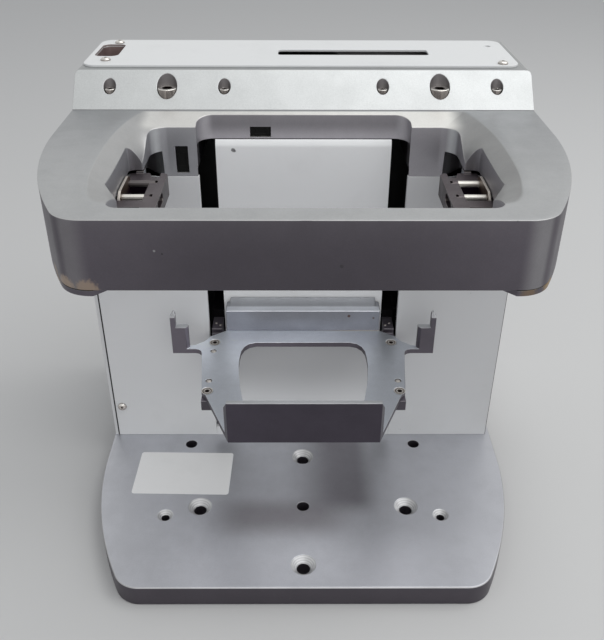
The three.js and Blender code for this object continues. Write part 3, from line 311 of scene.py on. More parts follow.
def finish(name, values, group=blasted, metallic=0.75, specular=0.5, spots=(), tones=()):
    """Material from one group's surface. Spots are (place in mm, size in mm, colour, amount), and
    tones are (group input, function of the tree that gives that input's colour or number)."""
    material = bpy.data.materials.new(name)
    material.use_nodes = True
    tree = material.node_tree
    made = tree.nodes.new("ShaderNodeGroup")
    made.node_tree = group
    for label, value in values.items():
        put(made.inputs[label], value)
    for label, tone in tones:
        put(made.inputs[label], tone(tree))
    colour = made.outputs["Colour"]
    for place, size, stain, amount in spots:
        spot = tree.nodes.new("ShaderNodeGroup")
        spot.node_tree = spot_group
        put(spot.inputs["Place"], tuple(MM * part for part in place))
        put(spot.inputs["Size"], MM * size)
        colour = mixed(maths("MULTIPLY", spot.outputs["Mask"], amount), colour, stain)
    body = tree.nodes["Principled BSDF"].inputs
    put(body["Base Color"], colour)
    put(body["Roughness"], made.outputs["Roughness"])
    put(body["Normal"], made.outputs["Normal"])
    put(body["Metallic"], metallic)
    put(body["Specular IOR Level"], specular)
    return material


def flat_regions(made):
    """Lists of faces that touch and lie in one plane, where there is more than one face."""
    seen = set()
    for face in made.faces:
        region = [] if face in seen else [face]
        seen.add(face)
        for member in region:
            touching = {other for edge in member.edges for other in edge.link_faces} - seen
            touching = [other for other in touching if other.normal.dot(face.normal) > 0.999999]
            seen.update(touching)
            region.extend(touching)
        if len(region) > 1:
            yield region


def softened(node, material, rim, angle=28.0):
    """Copy of a CAD node with its triangles joined and its edges rounded by a bevel. A flat face
    with holes gets a narrow band round each outline first, so that the bevel has a clean edge
    to end on, and is filled again inside. The copy rides the node's body in the node's place."""
    source = frame["nodes"][node]
    mesh = source.data.copy()
    mesh.name = node + "_finished"
    made = bmesh.new()
    made.from_mesh(mesh)
    bmesh.ops.remove_doubles(made, verts=made.verts, dist=2e-6)
    bmesh.ops.dissolve_limit(made, angle_limit=math.radians(0.5), verts=made.verts, edges=made.edges)
    bmesh.ops.recalc_face_normals(made, faces=made.faces)
    for region in list(flat_regions(made)):
        facing = region[0].normal.copy()
        bmesh.ops.inset_region(
            made, faces=region, thickness=1.5 * rim * MM, use_even_offset=True, use_boundary=True
        )
        bmesh.ops.delete(made, geom=region, context="FACES_ONLY")
        loose_edges = [edge for edge in made.edges if not edge.link_faces]
        bmesh.ops.delete(made, geom=loose_edges, context="EDGES_FACES")
        open_edges = [edge for edge in made.edges if len(edge.link_faces) == 1]
        bmesh.ops.triangle_fill(made, use_beauty=True, edges=open_edges, normal=facing)
    bmesh.ops.recalc_face_normals(made, faces=made.faces)
    made.to_mesh(mesh)
    made.free()
    if "custom_normal" in mesh.attributes:
        mesh.attributes.remove(mesh.attributes["custom_normal"])
    piece = linked(node + "_finished", mesh)
    mesh.materials.clear()
    mesh.materials.append(material)
    mesh.shade_smooth()
    mesh.set_sharp_from_angle(angle=math.radians(angle))
    bevel = piece.modifiers.new("rim", "BEVEL")
    bevel.width = rim * MM
    bevel.segments = 2
    bevel.limit_method = "ANGLE"
    bevel.angle_limit = math.radians(angle)
    bevel.use_clamp_overlap = False
    bevel.harden_normals = True
    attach(piece, source["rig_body"])
    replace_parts(piece, node)
    return piece


cool = (0.97, 0.985, 1.05)
plum = (1.0, 0.9, 1.06)


def place_parts(tree):
    """Object coordinates X, Y and Z as three outputs."""
    return parted(coordinates(tree))


def base_top_painted_light(tree):
    """Lying colour of the base plate, with painted light: paler to the front and in the middle there,
    a little darker to the right at the rear, a painted shadow of the stage as a dull patch on the right
    under it, and a painted reflection of the stage's underside as a dull trail across in front of it."""
    x, y, z = place_parts(tree)
    # Painted light: paler to the front and in the middle there; painted shade: darker to the right at the
    # rear.
    middle = sloped(maths("ABSOLUTE", x), 0.085, 0.045)
    front = mixed(middle, grey(0.57, cool), grey(0.74, cool))
    rear = mixed(sloped(x, 0.03, 0.08), grey(0.59, cool), grey(0.53, cool))
    pale = mixed(sloped(y, -0.060, -0.092), rear, front)
    # Painted reflection of the stage's underside: a dull trail across in front of the stage.
    across_front = within(x, -0.060, -0.030, 0.005, 0.035)
    painted_reflection_trail = masked(across_front, within(y, -0.080, -0.061, -0.056, -0.042))
    pale = mixed(painted_reflection_trail, pale, grey(0.36, (1.0, 0.97, 1.04)))
    # Painted shadow of the stage: a dull patch on the right under it.
    on_right = within(x, -0.015, 0.022, 0.031, 0.047)
    painted_shadow_patch = masked(on_right, sloped(y, -0.062, -0.045))
    return mixed(painted_shadow_patch, pale, grey(0.265, (1.0, 0.97, 1.06)))


# Plan places of the countersunk holes, in millimetres.
countersinks = [(-59, -52), (59, -52), (0, -9.75), (0, -94.25), (-78, -58.75), (78, -58.75)]


def turning_marks(tree):
    """Colour of the edges and cones, with fine rings round each countersink: the sine of the
    distance in plan from the nearest hole's axis."""
    flattened = tree.nodes.new("ShaderNodeVectorMath")
    flattened.operation = "MULTIPLY"
    put(flattened.inputs[0], coordinates(tree))
    put(flattened.inputs[1], (1.0, 1.0, 0.0))
    nearest = 1.0
    for x, y in countersinks:
        nearest = maths("MINIMUM", distance(flattened.outputs[0], (x * MM, y * MM, 0.0)), nearest)
    wave = maths("SINE", maths("MULTIPLY", nearest, 7000.0))
    rings = masked(sloped(wave, -1.0, 1.0), sloped(nearest, 0.0075, 0.0070))
    edge = mixed(sloped(nearest, 0.009, 0.012), grey(0.70), grey(0.45))
    return mixed(rings, edge, grey(0.50))


base_finish = finish(
    "base_anodised",
    {"Standing": grey(0.10, plum), "Edge Amount": 0.8, "Cloud": 0.05},
    tones=[("Level", base_top_painted_light), ("Edge", turning_marks)],
)
softened("base_plate", base_finish, rim=0.25)


# Head ring: milled from one plate, bead blasted and anodised like the base. A dished lead-in
# falls to the opening, a slot on each side takes a jaw, and a recess at the rear takes the
# stage's bar. It stands on the columns and is bolted through the top block.
def surface(name, body, material, grids, angle=30.0, tone=None, rows_close=False):
    """A piece from grids of points, each rows x columns x 3. Its columns close on themselves, and
    its rows do where that is said. Doubled points are joined and faces turned out. The tone, a
    number for each point, is kept as an attribute for the material."""
    points, faces, first = [], [], 0
    for grid in grids:
        rows, columns = grid.shape[:2]
        index = first + np.arange(rows * columns).reshape(rows, columns)
        lower, upper = (index, np.roll(index, -1, axis=0)) if rows_close else (index[:-1], index[1:])
        corners = [lower, np.roll(lower, -1, axis=1), np.roll(upper, -1, axis=1), upper]
        points.append(grid.reshape(-1, 3))
        faces.append(np.stack(corners, axis=-1).reshape(-1, 4))
        first += rows * columns
    mesh = bpy.data.meshes.new(name)
    mesh.from_pydata(np.concatenate(points).tolist(), [], np.concatenate(faces).tolist())
    if tone is not None:
        mesh.attributes.new("tone", "FLOAT", "POINT").data.foreach_set("value", tone)
    made = bmesh.new()
    made.from_mesh(mesh)
    bmesh.ops.remove_doubles(made, verts=made.verts, dist=2e-6)
    bmesh.ops.recalc_face_normals(made, faces=made.faces)
    made.to_mesh(mesh)
    made.free()
    mesh.materials.append(material)
    mesh.shade_smooth()
    mesh.set_sharp_from_angle(angle=math.radians(angle))
    piece = linked(name, mesh)
    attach(piece, body)
    return piece


ring_low, ring_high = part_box("head_ring")
machine_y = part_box("left_front_panel")[0].y


def in_frame(points):
    """Points in the frame's metres, from millimetres whose y starts at the front panels' face."""
    return points * MM + [0.0, machine_y, 0.0]


# Sizes in millimetres. The dish's edge is given as shares of the opening's half width and depth.
half_width = ring_high.x / MM
front_reach = (machine_y - ring_low.y) / MM
rear_reach = (ring_high.y - machine_y) / MM
ring_top, ring_bottom = ring_high.z / MM, ring_low.z / MM
straight_side, sweep_radius, front_corner, band_foot = 22.0, 197.0, 15.0, 15.25
opening_half, opening_front, rear_corner, front_radius = 78.0, -109.0, 9.0, 5.0
recess_half, recess_depth, recess_corner = 54.75, 11.25, 8.0
slot_outer, slot_rear, slot_front, slot_tip, slot_corner = 84.75, -27.0, -76.0, (77.0, -89.0), 3.0
dish_dip, dish_side_dip, dish_front_dip = 4.0, 14.0, 1.0
dish_inset, dish_wall_share, dish_roll_share, dish_foot_share = 3.0, 0.83, 0.42, 1.08
dish_edge_shares = [
    (1.116, -0.05), (1.170, 0.16), (1.190, 0.42), (1.163, 0.75), (1.082, 0.952), (0.95, 0.985)
]
pocket_ceiling, recess_ceiling, step_ceiling = 202.0, 204.75, 194.0
ring_rim = 0.4


def lengths(path):
    """Way run along a path at each of its points: the sum of the steps before it."""
    return np.concatenate([[0.0], np.cumsum(np.linalg.norm(np.diff(path, axis=0), axis=1))])


def along(path, shares):
    """Points at shares of a path's length."""
    run = lengths(path)
    return np.stack([np.interp(np.asarray(shares) * run[-1], run, path[:, axis]) for axis in (0, 1)], 1)


def arc(centre, radius, start, end, count):
    """Points centre + radius x (cos a, sin a), for angles a from start to end."""
    angle = np.linspace(start, end, count)
    return np.stack([centre[0] + radius * np.cos(angle), centre[1] + radius * np.sin(angle)], 1)


def smooth(value, low, high):
    """Zero at low and one at high: 3 s squared - 2 s cubed, where s is the share between them."""
    share = np.clip((value - low) / (high - low), 0.0, 1.0)
    return share * share * (3.0 - 2.0 * share)


def spline(points, count):
    """Centripetal Catmull-Rom spline through the points, evenly spaced along its length."""
    points = np.asarray(points, float)
    ends = np.concatenate([[2 * points[0] - points[1]], points, [2 * points[-1] - points[-2]]])
    pieces = []
    for k in range(1, len(ends) - 2):
        p = ends[k - 1:k + 3]
        knot = np.concatenate([[0.0], np.cumsum(np.linalg.norm(np.diff(p, axis=0), axis=1) ** 0.5)])
        t = np.linspace(knot[1], knot[2], 60)[:, None]

        def between(a, b, i, j):
            """Line from a at knot i to b at knot j, at t: ((knot j - t) a + (t - knot i) b) / gap."""
            return ((knot[j] - t) * a + (t - knot[i]) * b) / (knot[j] - knot[i])

        a = [between(p[i], p[i + 1], i, i + 1) for i in range(3)]
        b = [between(a[i], a[i + 1], i, i + 2) for i in range(2)]
        pieces.append(between(b[0], b[1], 1, 2))
    return along(np.concatenate(pieces), np.linspace(0.0, 1.0, count))


# Right half of the outline from the rear middle: straight side, long inward sweep, tight corner.
sweep_centre = (half_width - sweep_radius, -straight_side)
corner_y = -front_reach + front_corner
sweep_turn = math.asin((-straight_side - corner_y) / (sweep_radius - front_corner))
corner_x = sweep_centre[0] + (sweep_radius - front_corner) * math.cos(sweep_turn)
outline = np.concatenate([
    [[0.0, rear_reach], [half_width, rear_reach], [half_width, band_foot]],
    arc(sweep_centre, sweep_radius, 0.0, -sweep_turn, 160),
    arc((corner_x, corner_y), front_corner, -sweep_turn, -math.pi / 2, 80),
    [[0.0, -front_reach]],
])


def in_opening(x, y):
    """True in the opening, the jaw slot or the rear recess, on the right half."""
    inside = (x < opening_half) & (y < 0.0) & (y > opening_front)
    for radius, centre_y, sign in (
        (rear_corner, -rear_corner, 1.0),
        (front_radius, opening_front + front_radius, -1.0),
    ):
        centre_x = opening_half - radius
        beyond = (x > centre_x) & (sign * (y - centre_y) > 0.0)
        inside &= ~(beyond & (np.hypot(x - centre_x, y - centre_y) > radius))
    slope = (slot_outer - slot_tip[0]) / (slot_front - slot_tip[1])
    edge = np.where(y > slot_front, slot_outer, slot_tip[0] + slope * (y - slot_tip[1]))
    slot = (y < slot_rear) & (y > slot_tip[1]) & (x < edge)
    centre_x, centre_y = slot_outer - slot_corner, slot_rear - slot_corner
    slot &= ~((x > centre_x) & (y > centre_y) & (np.hypot(x - centre_x, y - centre_y) > slot_corner))
    inside |= slot
    centre_x, centre_y = recess_half - recess_corner, recess_depth - recess_corner
    recess = (x < recess_half) & (y < recess_depth) & (y > -recess_corner)
    recess &= ~((x > centre_x) & (y > centre_y) & (np.hypot(x - centre_x, y - centre_y) > recess_corner))
    return inside | recess


# Stations go round the right half from the rear middle to the front middle. Each has a line in
# plan from the outline (place 0) over the dish's edge (1) to the dish's end (2).
rear_steps, side_steps, front_steps = 210, 420, 60
foot_x = opening_half * dish_foot_share
edge_points = [(foot_x, band_foot)] + [(opening_half * a, opening_front * b) for a, b in dish_edge_shares]
side_edge = spline(edge_points, side_steps)
inside_corner = arc(
    (opening_half - rear_corner, -rear_corner), rear_corner - dish_inset, math.pi / 2, 0.0, 40
)
inside_path = np.concatenate([
    inside_corner, [[opening_half - dish_inset, opening_front + dish_inset]]
])
side_end = along(inside_path, np.linspace(0.0, 1.0, side_steps))
rising = np.linspace(0.0, 1.0, rear_steps, endpoint=False)[:, None]
falling = np.linspace(1.0, 0.0, front_steps)[1:, None]
edge = np.concatenate([
    rising * [foot_x, 0.0] + [0.0, band_foot],
    side_edge,
    falling * [side_edge[-1, 0], 0.0] + [0.0, side_edge[-1, 1]],
])
end = np.concatenate([
    rising * [opening_half - rear_corner, 0.0] + [0.0, -dish_inset],
    side_end,
    falling * [side_end[-1, 0], 0.0] + [0.0, side_end[-1, 1]],
])
run = lengths(outline)
side_from, side_to = run[2] / run[-1], 1.0 - side_edge[-1, 0] / run[-1]
rim = along(outline, np.concatenate([
    np.linspace(0.0, side_from, rear_steps, endpoint=False),
    np.linspace(side_from, side_to, side_steps),
    np.linspace(side_to, 1.0, front_steps)[1:],
]))


def on_line(place):
    """Plan points at places on the stations' lines; place has a row for each station."""
    outer, inner = np.clip(place, 0.0, 1.0)[..., None], np.clip(place - 1.0, 0.0, 1.0)[..., None]
    return rim[:, None] + (edge - rim)[:, None] * outer + (end - edge)[:, None] * inner


def dish_height(place):
    """Height over the plan: flat to the dish's edge, then ring_top - dip(y) x profile(share, y).
    The dip grows from the rear to the sides and dies out to the front; the profile is
    (1 - roll) s + roll s^4, where s is the share of the way to the opening's wall."""
    back = end[:, None, 1] / opening_front
    fall, rise = smooth(back, 0.04, 0.26), 1.0 - smooth(back, 0.62, 0.95)
    dip = dish_front_dip + (dish_dip - dish_front_dip + (dish_side_dip - dish_dip) * fall) * rise
    roll, s = dish_roll_share * fall, np.clip(place - 1.0, 0.0, None) / dish_wall_share
    return ring_top - dip * ((1.0 - roll) * s + roll * s ** 4)


# The line ends where it first enters the opening; the profile turns down there.
station = np.arange(len(rim))
trial = np.linspace(0.02, 2.0, 3000)[None, :].repeat(len(rim), 0)
plan = on_line(trial)
wall_place = trial[station, in_opening(plan[..., 0], plan[..., 1]).argmax(1)][:, None]
wall = on_line(wall_place)[:, 0]
span = np.linalg.norm(on_line(wall_place - 0.05)[:, 0] - wall, axis=1)[:, None] / 0.05
stop_place = wall_place - ring_rim / np.maximum(span, 1.0)
start_place = ring_rim / np.linalg.norm(edge - rim, axis=1)[:, None]
top_shares = np.concatenate([np.linspace(0.0, 1.0, 7), np.linspace(1.0, 2.0, 28)[1:]])
places = np.clip(top_shares[None, :], start_place, stop_place)
top = np.concatenate([on_line(places), dish_height(places)[..., None]], axis=2)
start, stop = on_line(start_place)[:, 0], on_line(stop_place)[:, 0]
stop_z, wall_z = dish_height(stop_place)[:, 0], dish_height(wall_place)[:, 0]


def at_level(plan, z):
    """Plan points put at a height, as one column of the ring's grid."""
    return np.concatenate([plan, np.broadcast_to(z, len(plan))[:, None]], axis=1)[:, None]


quarter = np.linspace(0.0, math.pi / 2, 4)
outer_turn = [
    at_level(rim + (start - rim) * (1.0 - math.cos(a)), ring_top - ring_rim * (1.0 - math.sin(a)))
    for a in quarter
]
inner_turn = [
    at_level(
        stop + (wall - stop) * math.sin(a), stop_z - (stop_z - wall_z + ring_rim) * (1.0 - math.cos(a))
    )
    for a in quarter
]

# Below the wall: into the lift's pocket, the gripper's pocket, or back by a small step.
pocket_inner, pocket_outer, pocket_front, pocket_rear = 72.5, 106.0, -92.0, 12.0
lift_half, lift_rear, small_step = 56.5, 80.0, 0.5
in_recess = wall[:, 1] > 0.3
pocketed = (wall[:, 0] > pocket_inner) & (wall[:, 1] > pocket_front)
ceiling = np.where(in_recess, recess_ceiling, np.where(pocketed, pocket_ceiling, step_ceiling))
back = on_line(np.clip(wall_place - np.linspace(0.0, 2.0, 800)[None, :], 0.0, 2.0))
back_x, back_y = back[..., 0], back[..., 1]
in_pocket = (back_x > pocket_inner - 0.1) & (back_x < pocket_outer)
in_pocket &= (back_y > pocket_front) & (back_y < pocket_rear)
in_lift = (back_y < lift_rear) & (back_x < lift_half)
held = np.where(in_recess[:, None], in_lift, in_pocket & pocketed[:, None])
last = np.where(held.all(1), held.shape[1] - 1, np.maximum(held.argmin(1) - 1, 0))
back_wall = back[station, last]
outward = (stop - wall) / np.maximum(np.linalg.norm(stop - wall, axis=1), 1e-9)[:, None]
stepped = (wall[:, 1] > -0.6) & (wall[:, 0] < pocket_inner) & ~in_recess
back_wall = np.where(stepped[:, None], wall + outward * small_step, back_wall)
rows = np.concatenate(
    [at_level(start, ring_bottom), at_level(rim, ring_bottom + ring_rim)]
    + outer_turn
    + [top]
    + inner_turn
    + [at_level(wall, ceiling), at_level(back_wall, ceiling), at_level(back_wall, ring_bottom)],
    axis=1,
)
mirror = rows[1:-1][::-1] * [-1.0, 1.0, 1.0]
ring_points = in_frame(np.concatenate([rows, mirror]))


def left_to_right(tree, left, right):
    """Colour that runs from one value on the machine's left half to another on its right."""
    return mixed(sloped(place_parts(tree)[0], -0.05, 0.05), left, right)


def outer_wall(tree):
    """Colour of the ring's outside, with painted light: dark in front as painted shade, a little
    lighter to the sides, and a painted highlight as a pale band where each front corner bends, paler on
    the right."""
    x, y, z = place_parts(tree)
    across = maths("ABSOLUTE", x)
    # Painted shade: dark in front, a little lighter to the sides.
    front = mixed(sloped(across, 0.03, 0.085), grey(0.084, plum), grey(0.112, plum))
    # Painted highlight: a pale band where each front corner bends, paler on the right.
    bend_highlight_mask = masked(within(across, 0.083, 0.0905, 0.0925, 0.0955), sloped(y, -0.088, -0.097))
    bend_highlight = left_to_right(tree, grey(0.205, (1.0, 0.95, 1.02)), grey(0.25, (1.0, 0.97, 1.02)))
    return mixed(bend_highlight_mask, front, bend_highlight)


def opening_wall(tree):
    """Colour of the opening's walls, with painted light: painted highlights in its rounded rear
    corners and in the recess's corners, a painted reflection that makes the recess paler low down,
    painted shade at the rear of the gripper slots, and sides a little lighter on the left."""
    x, y, z = place_parts(tree)
    across = maths("ABSOLUTE", x)
    # Painted light: the sides are a little lighter on the left.
    sides = left_to_right(tree, grey(0.36, (0.98, 0.98, 1.04)), grey(0.33, (1.0, 0.97, 1.04)))
    # Painted shade at the rear of the gripper slots.
    slot_rear = masked(sloped(y, -0.0175, -0.0165), sloped(across, 0.0782, 0.0790))
    sides = mixed(slot_rear, sides, grey(0.22, (1.0, 0.97, 1.05)))
    # Painted reflection: the recess is paler low down.
    low = sloped(z, 0.213, 0.204)
    recess = mixed(low, grey(0.25, (1.0, 0.96, 1.03)), grey(0.50, (1.0, 0.96, 1.03)))
    # Painted highlight in the recess's rounded corners.
    recess_corner = sloped(across, 0.047, 0.052)
    recess = mixed(recess_corner, recess, grey(0.46, (1.0, 0.97, 1.03)))
    walls = mixed(sloped(y, 0.0145, 0.0155), sides, recess)
    # Painted highlight in the opening's rounded rear corners.
    rounded = masked(within(across, 0.0722, 0.0752, 0.0768, 0.0779), sloped(y, 0.0, 0.004))
    return mixed(rounded, walls, grey(0.55, (0.98, 1.0, 1.03)))


def ring_walls(tree):
    """Standing colour of the ring, outside and in the opening."""
    x, y, z = place_parts(tree)
    inner = sloped(maths("ABSOLUTE", x), 0.091, 0.086)
    inner = masked(inner, within(y, -0.1045, -0.101, 0.030, 0.035))
    return mixed(inner, outer_wall(tree), opening_wall(tree))


def in_dish(tree, outside=0.0, inside=1.0):
    """One value on the ring's top and another in the dish, just below it."""
    return sloped(place_parts(tree)[2], 0.2184, 0.2180, outside, inside)


def ring_level(tree):
    """Lying colour of the ring, with painted light: its top pales to the front; the dish is a little
    darker, its left side lighter than its right; and the dish's plain slope behind the opening is bright
    with a painted highlight, brighter to the right, to where it bends round to the sides."""
    x, y, z = place_parts(tree)
    front = sloped(y, 0.02, -0.09)
    top = mixed(front, grey(0.36, (0.98, 1.0, 1.03)), grey(0.46, (0.985, 1.0, 1.01)))
    # Painted light: the dish's left side lighter than its right.
    sides = mixed(sloped(x, -0.09, 0.09), grey(0.42), grey(0.31))
    right = sloped(x, -0.07, 0.03)
    # Painted highlight on the dish's plain slope behind the opening, brighter to the right.
    slope = mixed(right, grey(0.70, (1.0, 0.99, 0.96)), grey(0.80, (1.0, 0.99, 0.95)))
    straight = within(x, -0.085, -0.0785, 0.0735, 0.0825)
    dish = mixed(masked(straight, sloped(y, 0.004, 0.012)), sides, slope)
    return mixed(in_dish(tree), top, dish)


ring_finish = finish(
    "ring_anodised",
    {"Edge": grey(0.66, (1.0, 1.0, 0.98)), "Cloud": 0.05},
    spots=[
        ((79.5, -110.0, 218.3), 1.1, grey(0.03), 0.9),
        ((-57.9, -109.3, 205.6), 0.6, grey(0.35), 0.7),
        ((-55.0, -109.3, 204.3), 0.5, grey(0.02), 0.7),
        ((-101.5, -94.0, 188.1), 5.0, (0.40, 0.30, 0.22, 1.0), 0.6),
        ((-94.7, -104.8, 188.0), 6.0, (0.45, 0.35, 0.27, 1.0), 0.8),
        ((-86.0, -109.6, 188.0), 6.0, (0.42, 0.32, 0.24, 1.0), 0.7),
        ((14.0, -109.3, 199.0), 0.9, grey(0.03), 0.5),
    ],
    tones=[
        ("Standing", ring_walls),
        ("Level", ring_level),
        ("Edge Amount", lambda tree: in_dish(tree, 0.55, 0.05)),
    ],
)
ring = surface("head_ring_finished", "stand", ring_finish, [ring_points], rows_close=True)
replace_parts(ring, "head_ring")
sensor_gap, sensor_mouth = 0.3, 4.0
for sensor in ("rack_sensor", "plate_sensor"):
    low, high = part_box(sensor)
    low = low - Vector((sensor_gap, sensor_mouth, sensor_gap)) * MM
    high = high + Vector((sensor_gap, sensor_gap, sensor_gap)) * MM
    made = bmesh.new()
    bmesh.ops.create_cube(made, size=1.0)
    place = Matrix.Translation((low + high) / 2) @ Matrix.Diagonal((*(high - low), 1.0))
    bmesh.ops.transform(made, verts=made.verts, matrix=place)
    hole = bpy.data.meshes.new(sensor + "_hole")
    made.to_mesh(hole)
    made.free()
    cutter = linked(sensor + "_hole", hole)
    cutting = ring.modifiers.new("hole", "BOOLEAN")
    cutting.object = cutter
    cutting.solver = "EXACT"
    drilled = ring.evaluated_get(bpy.context.evaluated_depsgraph_get())
    ring.data = bpy.data.meshes.new_from_object(drilled)
    ring.modifiers.clear()
    bpy.data.objects.remove(cutter)


# Sensors: black moulded housings with a window, one in the ring's rear wall and one in its
# recess. Each is pushed into its hole with a small gap all round.
sensor_finish = finish(
    "sensor_black",
    {
        "Level": grey(0.006),
        "Standing": grey(0.004),
        "Edge": grey(0.02),
        "Roughness": 0.5,
        "Bump": 0.02,
    },
    metallic=0.0,
    specular=0.15,
)
for sensor in ("rack_sensor", "plate_sensor"):
    softened(sensor, sensor_finish, rim=0.2)


# Gripper covers: thin anodised plates that close the ring's lobes from below. Their front edges
# are worn to a yellowish brown where the machine is gripped to carry it.
# The covers' lying faces, inside the lobes, are near black: painted shade.
cover_finish = finish(
    "cover_anodised",
    {"Level": grey(0.01), "Standing": grey(0.12, plum), "Edge": grey(0.3), "Cloud": 0.1},
    spots=[
        ((-104.0, -99.0, 186.5), 7.0, (0.32, 0.22, 0.12, 1.0), 0.55),
        ((101.0, -103.0, 186.5), 8.0, (0.38, 0.25, 0.10, 1.0), 0.7),
        ((88.0, -106.0, 186.8), 5.0, (0.30, 0.2, 0.1, 1.0), 0.5),
    ],
)
for side in ("left", "right"):
    softened(side + "_gripper_cover", cover_finish, rim=0.25)


# Tower skin: powder coated steel sheet. Two side panels stand between the lift's slots and the
# folded cover; the centre panel stands back between the slots, with its top edge rolled back.
powder, given, result = new_group(
    "powder_coat",
    [("Tint", grey(0.6)), ("Roughness", 0.4), ("Peel", 0.1), ("Marks", 0.12)],
    surface_outputs,
)
peel = noise(powder, 700.0)
dirt = sloped(noise(powder, 30.0, 5.0, 0.65), 0.5, 0.75)
specks = sloped(noise(powder, 320.0), 0.78, 0.81)
stain = maths("ADD", maths("MULTIPLY", dirt, 0.4), maths("MULTIPLY", specks, 2.0))
stain = maths("MULTIPLY", stain, given["Marks"])
put(result["Colour"], mixed(stain, given["Tint"], (0.25, 0.24, 0.22, 1.0)))
matt = maths("MULTIPLY", dirt, 0.1)
put(result["Roughness"], maths("ADD", matt, given["Roughness"]))
put(result["Normal"], relief(peel, given["Peel"]))


def panel_tint_painted_shade(tree):
    """Paint of the side panels, a little darker on the right as painted shade."""
    return left_to_right(tree, grey(0.79, (0.99, 1.0, 1.0)), grey(0.68, (0.99, 1.0, 1.0)))


def centre_tint_painted_shadow(tree):
    """Paint of the centre panel, darker behind the tray at rest: a painted shadow of the tray."""
    z = place_parts(tree)[2]
    # Painted shadow of the tray on the panel behind it.
    behind = within(z, 0.025, 0.06, 0.078, 0.09)
    return mixed(behind, grey(0.95, (0.99, 1.0, 0.995)), grey(0.66, (0.99, 1.0, 0.995)))


panel_finish = finish("panel_paint", {"Roughness": 0.36}, powder, 0.0, tones=[("Tint", panel_tint_painted_shade)])
for side in ("left", "right"):
    softened(side + "_front_panel", panel_finish, rim=0.3)
centre_finish = finish(
    "centre_paint",
    {"Roughness": 0.3},
    powder,
    metallic=0.0,
    spots=[
        ((-37.1, 20.0, 199.3), 1.3, grey(0.04), 0.8),
        ((-36.2, 20.0, 198.7), 0.8, grey(0.04), 0.7),
    ],
    tones=[("Tint", centre_tint_painted_shadow)],
)

low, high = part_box("centre_front_panel")
rolled_radius = 5.0 * MM
rolled = math.acos(1.0 - (high.y - low.y) / rolled_radius)
turn_at = np.linspace(0.0, rolled, 14)
front_line = np.stack([
    low.y + rolled_radius * (1.0 - np.cos(turn_at)),
    high.z - rolled_radius * (math.sin(rolled) - np.sin(turn_at)),
], 1)
profile = np.concatenate([[[low.y, low.z]], front_line, [[high.y, low.z]]])
skin = np.zeros((4, len(profile), 3))
skin[..., 0] = np.array([low.x, low.x, high.x, high.x])[:, None]
skin[..., 1:] = profile
skin[[0, 3], :, 1:] = profile.mean(0)
centre_panel = surface("centre_front_panel_finished", "stand", centre_finish, [skin])
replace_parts(centre_panel, "centre_front_panel")


# Slot feet: painted blocks that close the foot of each lift slot below the arms' lowest place. Each
# is a plain column with its top edges rounded, z falling by r (1 - sin a) and in by r (1 - cos a).
def stacked(rings):
    """Grid from rings of points, closed at each end by a point on the axis at the ring's height."""
    return np.stack([rings[0] * [0.0, 0.0, 1.0], *rings, rings[-1] * [0.0, 0.0, 1.0]])


slot_half, slot_inner, foot_top, foot_round = 4.2, 46.3, 19.4, 0.4
panel_low, panel_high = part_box("left_front_panel")
foot_low, foot_deep = panel_low.z / MM, (panel_high.y - machine_y) / MM
turns = np.linspace(0.0, math.pi / 2, 5)
shrink = [0.0, *(foot_round * (1.0 - np.cos(turns)))]
heights = [foot_low + 0.05, *(foot_top - foot_round * (1.0 - np.sin(turns)))]
square = np.array([[1, 1], [-1, 1], [-1, -1], [1, -1]], float)
foot = stacked([
    np.concatenate([square * [slot_half - inset, foot_deep / 2 - inset], np.full((4, 1), z)], axis=1)
    for inset, z in zip(shrink, heights)
])
feet = [
    in_frame(foot + [side * (slot_inner + slot_half), foot_deep / 2 + 0.02, 0.0])
    for side in (-1, 1)
]
surface("slot_feet", "stand", panel_finish, feet)


def cover_inside(tree):
    """Paint outside; near black inside, behind the front edge of the folded sheet, as painted shade."""
    x, y, z = place_parts(tree)
    # Painted shade: near black inside the folded sheet.
    inside = sloped(maths("ABSOLUTE", x), 0.1178, 0.1176)
    inside = masked(inside, sloped(y, 0.1075, 0.107))
    return mixed(inside, grey(0.72, (0.99, 1.0, 1.0)), grey(0.012))


cover_paint = finish("cover_paint", {"Roughness": 0.36}, powder, 0.0, tones=[("Tint", cover_inside)])
softened("rear_cover", cover_paint, rim=0.3)


# Top block: milled aluminium bar across the rear of the ring, with a sloped band whose screws hold
# the head down. It is blasted more coarsely than the ring, and looks brighter: its sloped band takes
# the Edge colour in full, a painted highlight.
def in_hand_hole(tree):
    """One on the walls and the floor of the hand hole."""
    x, y, z = place_parts(tree)
    across = within(x, -0.1159, -0.1158, -0.1022, -0.1021)
    return masked(across, within(y, 0.0663, 0.0664, 0.0955, 0.0956))


def stained(colour):
    """The colour, or a brown stain in the hand hole."""
    return lambda tree: mixed(in_hand_hole(tree), colour, grey(0.27, (1.15, 0.88, 0.84)))


def block_standing(tree):
    """Sides, stained in the hand hole, and dull bare metal in the counterbores of the band."""
    x, y, z = place_parts(tree)
    bores = within(y, 0.0300, 0.0302, 0.0421, 0.0423)
    bores = masked(bores, sloped(maths("ABSOLUTE", x), 0.1175, 0.1165))
    sides = stained(grey(0.30, (1.0, 0.96, 0.98)))(tree)
    return mixed(bores, sides, grey(0.23, (1.0, 0.94, 0.95)))


# Edge Amount 1.0 gives the sloped band the bright Edge colour in full: a painted highlight.
block_finish = finish(
    "block_anodised",
    {
        "Edge": grey(0.57, (0.975, 1.0, 1.0)),
        "Edge Amount": 1.0,
        "Cloud": 0.03,
        "Grain": 0.22,
        "Roughness": 0.45,
    },
    metallic=0.7,
    tones=[
        ("Level", stained(grey(0.38, (0.98, 1.0, 1.005)))),
        ("Standing", block_standing),
    ],
)
softened("top_block", block_finish, rim=0.35)


